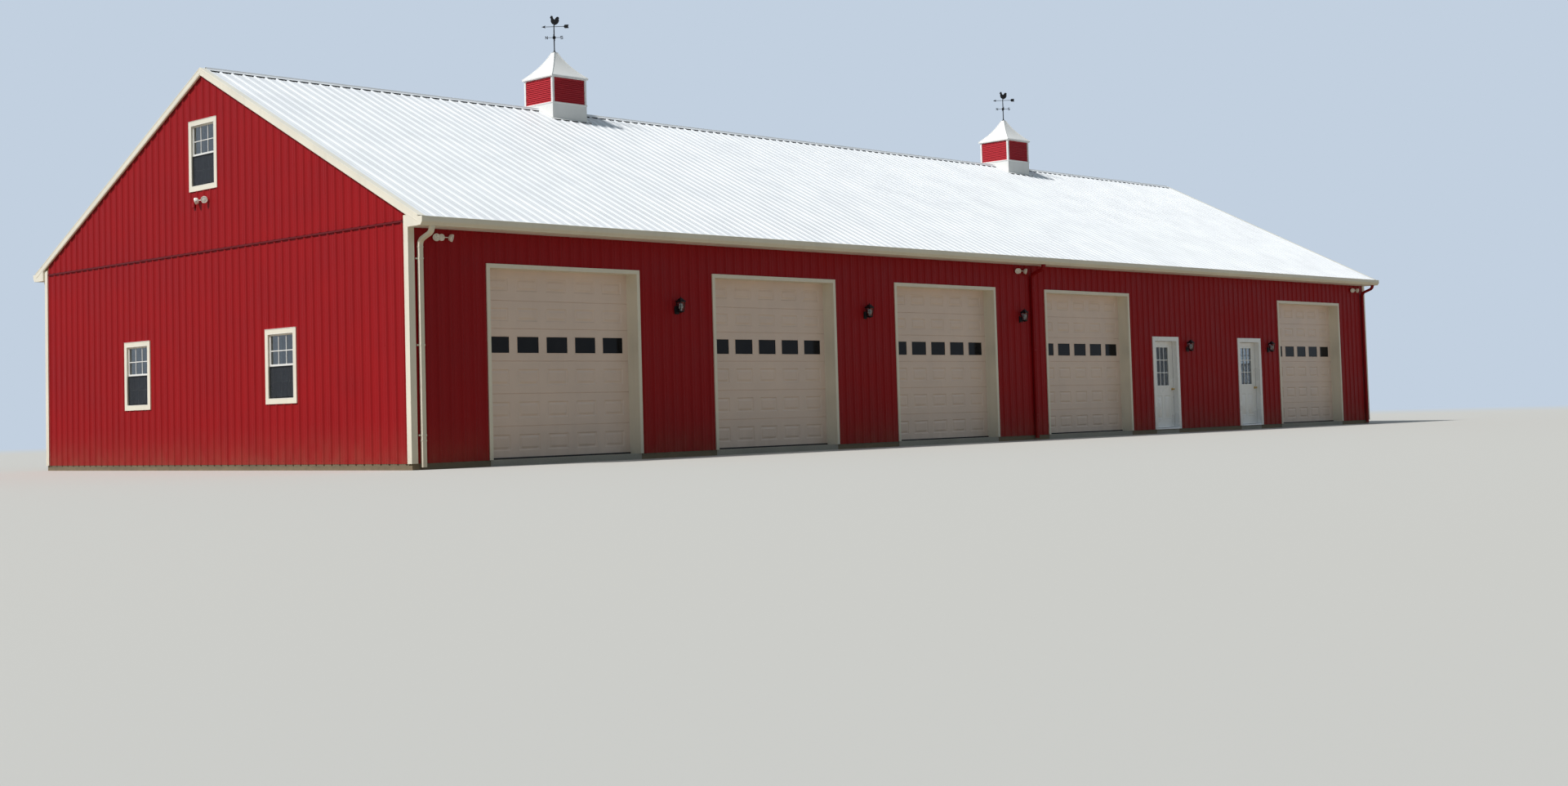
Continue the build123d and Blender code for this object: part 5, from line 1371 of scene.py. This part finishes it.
class SHOP_OT_cupolas(bpy.types.Operator):
    """Louvre blades, curved roofs with hip rolls, corner beads and flashings of the two cupolas"""

    bl_idname = "shop.cupolas"
    bl_label = "Cupolas"

    def execute(self, context):
        sheets, sizes = context.scene.shop_sheets, context.scene.shop_cupolas
        blades, roofs, trims, flashings, closures = Shape(), Shape(), Shape(), Shape(), Shape()
        for middle in cupola_middles:
            for turn in range(4):
                face = turned_face((middle, 0, 0), 90 * turn)
                self.add_blades(blades, face, sizes)
                self.add_trims(trims, face, sizes)
            self.add_roof(roofs, middle, sizes)
            self.add_flashing(flashings, closures, middle, sheets, sizes)
        make_piece("cupola_blades", blades, "red_louvre", "cupola_louvres")
        make_piece("cupola_bell_roofs", roofs, "white_trim", "cupola_roofs", round_over=32)
        make_piece("cupola_trims", trims, "white_trim")
        make_piece("cupola_flashings", flashings, "white_trim")
        make_piece("cupola_closures", closures, "rubber")
        return {"FINISHED"}

    def add_blades(self, shape, face, sizes):
        """Overlapping blades with a rounded nose that turns down over the next one."""
        half = cupola_half_width - sizes.post_width + 0.001
        out, lean = cupola_half_width - 0.004, sizes.blade_depth
        low, high = louvre_low[2] - 0.002, louvre_high[2] + 0.002
        rise = (high - low) / sizes.blade_count
        for number in range(sizes.blade_count):
            foot = low + rise * number
            head = min(foot + rise + 0.012, high) if number == sizes.blade_count - 1 else foot + rise + 0.012
            profile = (
                (out - 0.003, foot), (out, foot + 0.003), (out - 0.001, foot + 0.009),
                (out - lean, head), (out - lean - 0.004, head), (out - 0.006, foot + 0.006),
            )
            shape.prism(face, profile, (-half, half))

    def add_trims(self, shape, face, sizes):
        """Corner boards and a moulded ledge round the top of the base."""
        half, ledge = cupola_half_width, cupola_base_top
        for side in (-1, 1):
            across = (side * half, side * (half - sizes.post_width))
            shape.bar(face, across, (ledge, louvre_high[2]), (half - 0.002, half + 0.003))
        profile = (
            (half - 0.001, ledge - 0.028), (half + 0.004, ledge - 0.026), (half + 0.008, ledge - 0.018),
            (half + 0.012, ledge - 0.012), (half + 0.012, ledge + 0.002), (half + 0.003, ledge + 0.006),
            (half - 0.001, ledge + 0.006),
        )
        shape.solid([[face.at(place * out, up, out) for out, up in profile] for place in (-1, 1)])

    def add_roof(self, shape, middle, sizes):
        """Square rings up a hollow curve, a drip edge below and a rolled hip along each corner."""
        low, high = cupola_roof_low[2], cupola_roof_high[2]
        half = (cupola_roof_high[0] - cupola_roof_low[0] - (cupola_middles[1] - cupola_middles[0])) / 2
        drip, cap, steps, roll_radius = low + sizes.roof_drip, 0.045, 14, 0.009
        slope = math.hypot(half - cap, high - drip)
        curve = []
        for step in range(steps + 1):
            share = step / steps
            sag = sizes.roof_sag * 4 * share * (1 - share)
            across = half + (cap - half) * share - sag * (high - drip) / slope
            rise = drip + (high - 0.004 - drip) * share - sag * (half - cap) / slope
            curve.append((across, max(rise, drip)))
        rings = [(half - 0.014, low + 0.001), (half - 0.004, low), (half, low + 0.004), (half, drip - 0.004)]
        rings += [(half - 0.003, drip)] + curve[1:] + [(cap + 0.004, high - 0.004), (cap + 0.004, high)]
        shape.solid([[Vector((middle + dx * a, dy * a, z)) for dx, dy in square] for a, z in rings])
        for dx, dy in square:
            sideways = Vector((-dy, dx, 0)).normalized()
            outwards = Vector((dx, dy, 1.6)).normalized()
            roll = []
            for across, up in curve:
                place = Vector((middle + dx * across, dy * across, up))
                roll.append([place + (sideways * x + outwards * y) * roll_radius for x, y in circle(8)])
            shape.solid(roll)

    def add_flashing(self, flashings, closures, middle, sheets, sizes):
        """Sheet aprons round the foot of the base, with dark closures in the sheets' flats."""
        rib_top = sheets.flat_height + sheets.rib_height
        over_ribs = (rib_top, rib_top + 0.003)
        half, apron = cupola_half_width, sizes.apron
        line = half / pitch_cos
        for face in (front_slope, back_slope):
            at = middle * face.across.x
            wide = about(at, half + apron)
            flashings.bar(face, wide, (-line - apron, -line + 0.01), over_ribs, 0.001)
            foot = -line - apron
            closures.bar(face, wide, (foot + 0.003, foot + 0.02), (0, rib_top - 0.0005), 0.0005)
            for side in (-1, 1):
                beside = (at + side * half, at + side * (half + apron))
                flashings.bar(face, beside, (-line, -0.02), over_ribs, 0.001)


class SHOP_OT_weathervanes(bpy.types.Operator):
    """Turned masts with direction letters, and smooth arrows and roosters that turn on them"""

    bl_idname = "shop.weathervanes"
    bl_label = "Weathervanes"

    def execute(self, context):
        sizes = context.scene.shop_vanes
        masts = Shape()
        for middle in cupola_middles:
            self.add_mast(masts, middle, sizes)
        make_piece("vane_mast_rods", masts, "black_metal", "vane_masts", round_over=40)
        for name, middle in zip(("left_weathervane", "right_weathervane"), cupola_middles):
            vane = Shape()
            self.add_vane(vane, middle, sizes)
            make_piece(f"{name}_plates", vane, "black_metal", name, body=name, round_over=35)
        return {"FINISHED"}

    def add_mast(self, shape, middle, sizes):
        """A mast with a foot, a hub, four arms with their letters and a pin on top."""
        foot, arms = cupola_roof_high[2], sizes.arm_level
        rise = mast_top - sizes.pin_length - foot
        radius, pin_radius, arm_radius, letter_reach = 0.012, 0.006, 0.0055, 0.024
        profile = (
            (0.048, -0.001), (0.048, 0.004), (0.030, 0.010), (0.020, 0.026), (0.015, 0.045), (radius, 0.060),
            (radius, arms - 0.036), (0.027, arms - 0.026), (0.036, arms), (0.027, arms + 0.026), (radius, arms + 0.036),
            (radius, rise), (pin_radius, rise), (pin_radius, rise + sizes.pin_length),
        )
        shape.turned((middle, 0, foot), (0, 0, 1), profile, 16)
        for turn, letter in enumerate("ENWS"):
            arm = turned_face((middle, 0, foot + arms), 45 + 90 * turn)
            shape.rod(arm.at(0, 0), arm.at(sizes.arm_length, 0), arm_radius)
            self.add_letter(shape, arm, sizes.arm_length + letter_reach, letter)

    def add_letter(self, shape, face, across, letter):
        """A direction letter of straight strokes."""
        half_width, half_height, pen, half_thickness = 0.019, 0.027, 0.0062, 0.0025
        for left, low, right, high in letter_strokes[letter]:
            start = Vector((across + left * half_width, low * half_height))
            end = Vector((across + right * half_width, high * half_height))
            run = (end - start).normalized() * pen
            side = Vector((-run.y, run.x))
            outline = (start - run - side, end + run - side, end + run + side, start - run + side)
            shape.slab(face, outline, (-half_thickness, half_thickness))

    def add_vane(self, shape, middle, sizes):
        """A sleeve over the mast's pin that carries an arrow with its fin, and a rooster with raised wings."""
        face = turned_face((middle, 0, mast_top - sizes.pin_length), sizes.heading)
        bore, sleeve, gap, rod_radius = 0.0062, 0.011, 0.0003, 0.0058
        plate, raised = (-0.003, 0.003), (0.0028, 0.0058)
        top = sizes.pin_length + gap + 0.012
        profile = (
            (bore, sizes.pin_length + gap), (bore, gap), (sleeve - 0.001, gap), (sleeve, gap + 0.001),
            (sleeve, top - 0.004), (0.008, top),
        )
        shape.turned(face.origin, (0, 0, 1), profile, 16)
        level, tip, tail = sizes.arrow_level, sizes.point_reach, -sizes.fin_reach
        for ends in ((tail + 0.05, -sleeve + 0.002), (sleeve - 0.002, tip - 0.05)):
            shape.rod(face.at(ends[0], level), face.at(ends[1], level), rod_radius, 10)
        head = ((tip, level), (tip - 0.085, level + 0.030), (tip - 0.068, level), (tip - 0.085, level - 0.030))
        fin = (
            (tail, level + 0.038), (tail + 0.082, level + 0.038), (tail + 0.110, level),
            (tail + 0.082, level - 0.038), (tail, level - 0.038), (tail + 0.010, level),
        )
        wide, tall = sizes.rooster_length, sizes.rooster_height
        body = smooth_outline([(wide * (0.42 - along), top - 0.006 + tall * up) for along, up in rooster], 4)
        for outline in (head, fin, body):
            shape.slab(face, outline, plate)
        wing = []
        for x, y in circle(14):
            along, up = 0.56 + 0.17 * x, 0.38 + 0.13 * y + 0.05 * x
            wing.append((wide * (0.42 - along), top + tall * up))
        shape.slab(face, wing, raised, 0.002)
        shape.slab(Face(face.origin, -face.across), [(-across, up) for across, up in wing], raised, 0.002)


class SHOP_OT_lamps(bpy.types.Operator):
    """Lanterns with plates, arms, cages and bulbs, twin floodlights and their boxes"""

    bl_idname = "shop.lamps"
    bl_label = "Lamps"

    def execute(self, context):
        black, panes, bulbs, housings, lenses, boxes = (Shape() for _ in range(6))
        for bay in (-2, -1, 0):
            self.add_lantern(black, panes, bulbs, bay * bay_width, lantern_level)
        for middle in entry_middles.values():
            self.add_lantern(black, panes, bulbs, middle + entry_lantern_offset, entry_lantern_level)
        sizes = context.scene.shop_lamps
        for x in (-end_flood_middle, 0.0, end_flood_middle):
            self.add_flood(housings, lenses, front_face, x, flood_level, sizes)
        box_low, box_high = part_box("gable_junction_boxes")
        box_level = (box_low[2] + box_high[2]) / 2
        for face, side in ((left_face, -1), (right_face, 1)):
            self.add_flood(housings, lenses, face, 0.0, gable_flood_level, sizes)
            for low, high, half in ((0.004, 0.036, 0.040), (0.036, 0.042, 0.045), (0.042, 0.050, 0.041)):
                middle = side * junction_box_offset
                boxes.bar(face, about(middle, half), about(box_level, half), (low, high))
        make_piece("lantern_metal", black, "black_metal", "wall_lanterns", round_over=35)
        make_piece("lantern_panes", panes, "clear_glass", "lantern_glass")
        make_piece("lantern_bulbs", bulbs, "white_lamp", round_over=40)
        make_piece("flood_housings", housings, "white_lamp", "floodlights", round_over=38)
        make_piece("flood_lenses", lenses, "lens", round_over=40)
        make_piece("junction_boxes", boxes, slot_of["gable_junction_boxes"], "gable_junction_boxes")
        return {"FINISHED"}

    def add_lantern(self, black, panes, bulbs, x, z):
        """A tapered four-pane lantern held out from the wall on a curved arm."""
        face = Face((x, plate_line, z), (1, 0, 0))
        plate_middle = -0.058
        plate, inner = [], []
        for shape_x, shape_z in circle(24):
            reach = 1 / max(abs(shape_x), abs(shape_z)) * 0.75 + 0.25
            across, up = 0.062 * shape_x * reach, 0.074 * shape_z * reach
            plate.append((across, plate_middle + up))
            inner.append((across * 0.7, plate_middle + up * 0.7))
        black.slab(face, plate, (-0.002, 0.012), 0.004)
        black.slab(face, inner, (0.012, 0.024), 0.006)
        arm = rounded_route([(0.020, -0.050), (0.070, -0.050), (0.110, -0.122), (0.110, -0.092)], 0.016, 4)
        black.swept(face, 0, arm, circle(8, 0.0065))

        foot, head = z - 0.081, z + 0.089
        axis = Vector((x, plate_line - 0.110, 0))
        low_half, high_half, rod = 0.038, 0.056, 0.0042
        taper = (high_half - low_half) / (head - foot)

        def levels(*sizes):
            return [[axis + Vector((dx * half, dy * half, height)) for dx, dy in square] for half, height in sizes]

        black.solid(levels(
            (0.020, foot - 0.026), (0.034, foot - 0.018), (0.044, foot - 0.010), (0.044, foot), (0.036, foot + 0.004)
        ))
        black.solid(levels(
            (0.060, head - 0.006), (0.068, head - 0.002), (0.068, head + 0.006), (0.050, head + 0.020),
            (0.038, head + 0.034), (0.030, head + 0.050), (0.016, head + 0.060),
        ))
        for ends in zip(*levels((low_half, foot), (high_half, head))):
            black.solid([[end + Vector((a * rod, b * rod, 0)) for a, b in square] for end in ends])
        for turn in range(4):
            side = turned_face(axis + Vector((0, 0, foot)), 90 * turn)
            rings = []
            for depth in (0.0035, 0.0010):
                ring = []
                for rise, ends in ((0.004, (-1, 1)), (head - foot - 0.004, (1, -1))):
                    half = low_half + taper * rise
                    ring += [side.at(end * (half - 0.004), rise, half - depth) for end in ends]
                rings.append(ring)
            panes.solid(rings)
            level = (head - foot) / 2
            half = low_half + taper * level
            black.bar(side, (-half, half), about(level, 0.002), (half - 0.003, half + 0.002), 0.001)
        finial = ((0.007, 0.058), (0.007, 0.066), (0.011, 0.070), (0.012, 0.076), (0.007, 0.082), (0.002, 0.0855))
        black.turned(axis + Vector((0, 0, head)), (0, 0, 1), finial, 10)
        bulb = (
            (0.016, 0.004), (0.018, 0.026), (0.026, 0.040), (0.035, 0.062), (0.039, 0.086), (0.036, 0.110),
            (0.026, 0.130), (0.008, 0.138),
        )
        bulbs.turned(axis + Vector((0, 0, foot)), (0, 0, 1), bulb, 14)

    def add_flood(self, housings, lenses, face, x, z, sizes):
        """A round box with two short heads, each with a knuckle, a bezel and a lens."""
        box = ((0.057, 0.0), (0.057, 0.020), (0.053, 0.026), (0.040, 0.029))
        neck = ((0.010, 0), (0.010, 0.016), (0.007, 0.02))
        head = (
            (0.012, -0.012), (0.030, -0.009), (0.045, 0.000), (0.053, 0.012), (0.055, 0.024), (0.059, 0.028),
            (0.061, 0.040), (0.061, 0.056), (0.058, 0.060), (0.053, 0.060), (0.050, 0.052), (0.030, 0.047),
        )
        lens = ((0.0495, 0.0520), (0.046, 0.0545), (0.032, 0.0575), (0.012, 0.059))
        drop = math.radians(sizes.flood_drop)
        housings.turned(face.at(x, z, -0.001), face.out, box, 24)
        for side in (-1, 1):
            turn = side * math.radians(sizes.flood_splay)
            level_aim = face.across * math.sin(turn) + face.out * math.cos(turn)
            aim = level_aim * math.cos(drop) - face.up * math.sin(drop)
            housings.turned(face.at(x + side * 0.030, z, 0.020), face.out, neck, 10)
            seat = face.at(x + side * sizes.flood_spread, z, 0.052)
            housings.rod(face.at(x + side * 0.040, z, 0.034), seat, 0.008, 10)
            housings.turned(seat, aim, head, 24)
            lenses.turned(seat, aim, lens, 24)


class SHOP_OT_stage(bpy.types.Operator):
    """Pale floor and background, soft light and the camera"""

    bl_idname = "shop.stage"
    bl_label = "Stage"

    def execute(self, context):
        scene = context.scene
        settings = scene.shop_stage
        scene.view_settings.view_transform = "Standard"
        self.add_floor(settings)
        self.add_sun(settings)
        self.set_background(scene, settings)
        self.add_camera(scene)
        return {"FINISHED"}

    def blend_shaders(self, tree, factor, first, second, target):
        """Leads two shaders to an output, blended by a value."""
        blend = tree.nodes.new("ShaderNodeMixShader")
        for socket, value in zip(blend.inputs, (factor, first, second)):
            tree.links.new(value, socket)
        tree.links.new(blend.outputs[0], tree.nodes[target].inputs["Surface"])

    def add_floor(self, settings):
        """A round floor that fades into the background, and throws a warmer tone back on the walls."""
        sides = 96
        mesh = bpy.data.meshes.new("floor")
        mesh.from_pydata([(x, y, 0) for x, y in circle(sides, settings.floor_radius)], [], [range(sides)])
        material = bpy.data.materials.new("pale floor")
        material.use_nodes = True
        mesh.materials.append(material)
        tree = material.node_tree
        shader = tree.nodes["Principled BSDF"]
        shader.inputs["Roughness"].default_value = 0.9
        ray = tree.nodes.new("ShaderNodeLightPath")
        seen = blend_colours(tree, ray.outputs["Is Camera Ray"], settings.floor_bounce, settings.floor)
        tree.links.new(seen, shader.inputs["Base Color"])
        place = tree.nodes.new("ShaderNodeTexCoord")
        distance = tree.nodes.new("ShaderNodeVectorMath")
        distance.operation = "LENGTH"
        tree.links.new(place.outputs["Object"], distance.inputs[0])
        fade_start, fade_end = 36.0, 80.0
        fade = rescale(tree, distance.outputs["Value"], (fade_start, fade_end), (0, 1), True)
        haze = tree.nodes.new("ShaderNodeEmission")
        haze.inputs["Color"].default_value = settings.background
        self.blend_shaders(tree, fade, shader.outputs[0], haze.outputs[0], "Material Output")
        add_object("floor", mesh)

    def add_sun(self, settings):
        """One soft lamp from the left gable's side, so that the front stands in the shade."""
        lamp = bpy.data.lights.new("main lamp", "SUN")
        lamp.energy = settings.sun_strength
        lamp.angle = math.radians(6)
        lamp.color = (1.0, 0.975, 0.94)
        towards_sun = Vector((-0.65, 0.12, 0.75))
        add_object("main lamp", lamp).rotation_euler = towards_sun.to_track_quat("Z", "Y").to_euler()

    def set_background(self, scene, settings):
        """A pale background for the camera and for gloss and glass, over the soft fill from all round."""
        world = bpy.data.worlds.new("background")
        scene.world = world
        world.use_nodes = True
        tree = world.node_tree
        fill = tree.nodes["Background"]
        fill.inputs["Color"].default_value = (0.72, 0.90, 1.0, 1)
        fill.inputs["Strength"].default_value = settings.fill_strength
        seen = tree.nodes.new("ShaderNodeBackground")
        seen.inputs["Color"].default_value = settings.background
        ray = tree.nodes.new("ShaderNodeLightPath")
        direct = combine(tree, "MAXIMUM", ray.outputs["Is Camera Ray"], ray.outputs["Is Glossy Ray"])
        shown = combine(tree, "MAXIMUM", direct, ray.outputs["Is Transmission Ray"])
        self.blend_shaders(tree, shown, fill.outputs[0], seen.outputs[0], "World Output")

    def add_camera(self, scene):
        """The photograph's own viewpoint, a little over knee height, off the front left corner."""
        data = bpy.data.cameras.new("camera")
        data.sensor_width = 36
        data.lens = 43.943
        data.shift_y = -0.04958
        data.clip_end = 400
        right = Vector((0.68773, -0.72541, -0.02842))
        up = Vector((-0.01802, -0.05619, 0.99826))
        turn = Matrix((right, up, right.cross(up))).transposed().to_4x4()
        camera = add_object("camera", data)
        camera.matrix_world = Matrix.Translation((-33.392, -30.662, 0.700)) @ turn
        scene.camera = camera


operators = (
    SHOP_OT_finishes,
    SHOP_OT_wall_sheets,
    SHOP_OT_roof_sheets,
    SHOP_OT_overhead_doors,
    SHOP_OT_entry_doors,
    SHOP_OT_windows,
    SHOP_OT_roof_edges,
    SHOP_OT_cupolas,
    SHOP_OT_weathervanes,
    SHOP_OT_lamps,
    SHOP_OT_stage,
)


class SHOP_PT_panel(bpy.types.Panel):
    """Lists the building's pieces and their settings"""

    bl_idname = "SHOP_PT_panel"
    bl_label = "Shop building"
    bl_space_type = "VIEW_3D"
    bl_region_type = "UI"
    bl_category = "Shop"

    def draw(self, context):
        for operator in operators:
            self.layout.operator(operator.bl_idname)
        for name, group in property_groups:
            box = self.layout.box()
            box.label(text=group.__doc__)
            for setting in group.__annotations__:
                box.prop(getattr(context.scene, name), setting)


def register():
    for name, group in property_groups:
        bpy.utils.register_class(group)
        setattr(bpy.types.Scene, name, PointerProperty(type=group))
    for operator in operators:
        bpy.utils.register_class(operator)
    bpy.utils.register_class(SHOP_PT_panel)


def unregister():
    bpy.utils.unregister_class(SHOP_PT_panel)
    for operator in reversed(operators):
        bpy.utils.unregister_class(operator)
    for name, group in reversed(property_groups):
        delattr(bpy.types.Scene, name)
        bpy.utils.unregister_class(group)


def main():
    """Registers the settings and builds the pieces in order."""
    register()
    for operator in operators:
        module, name = operator.bl_idname.split(".")
        getattr(getattr(bpy.ops, module), name)()


if __name__ == "__main__":
    main()
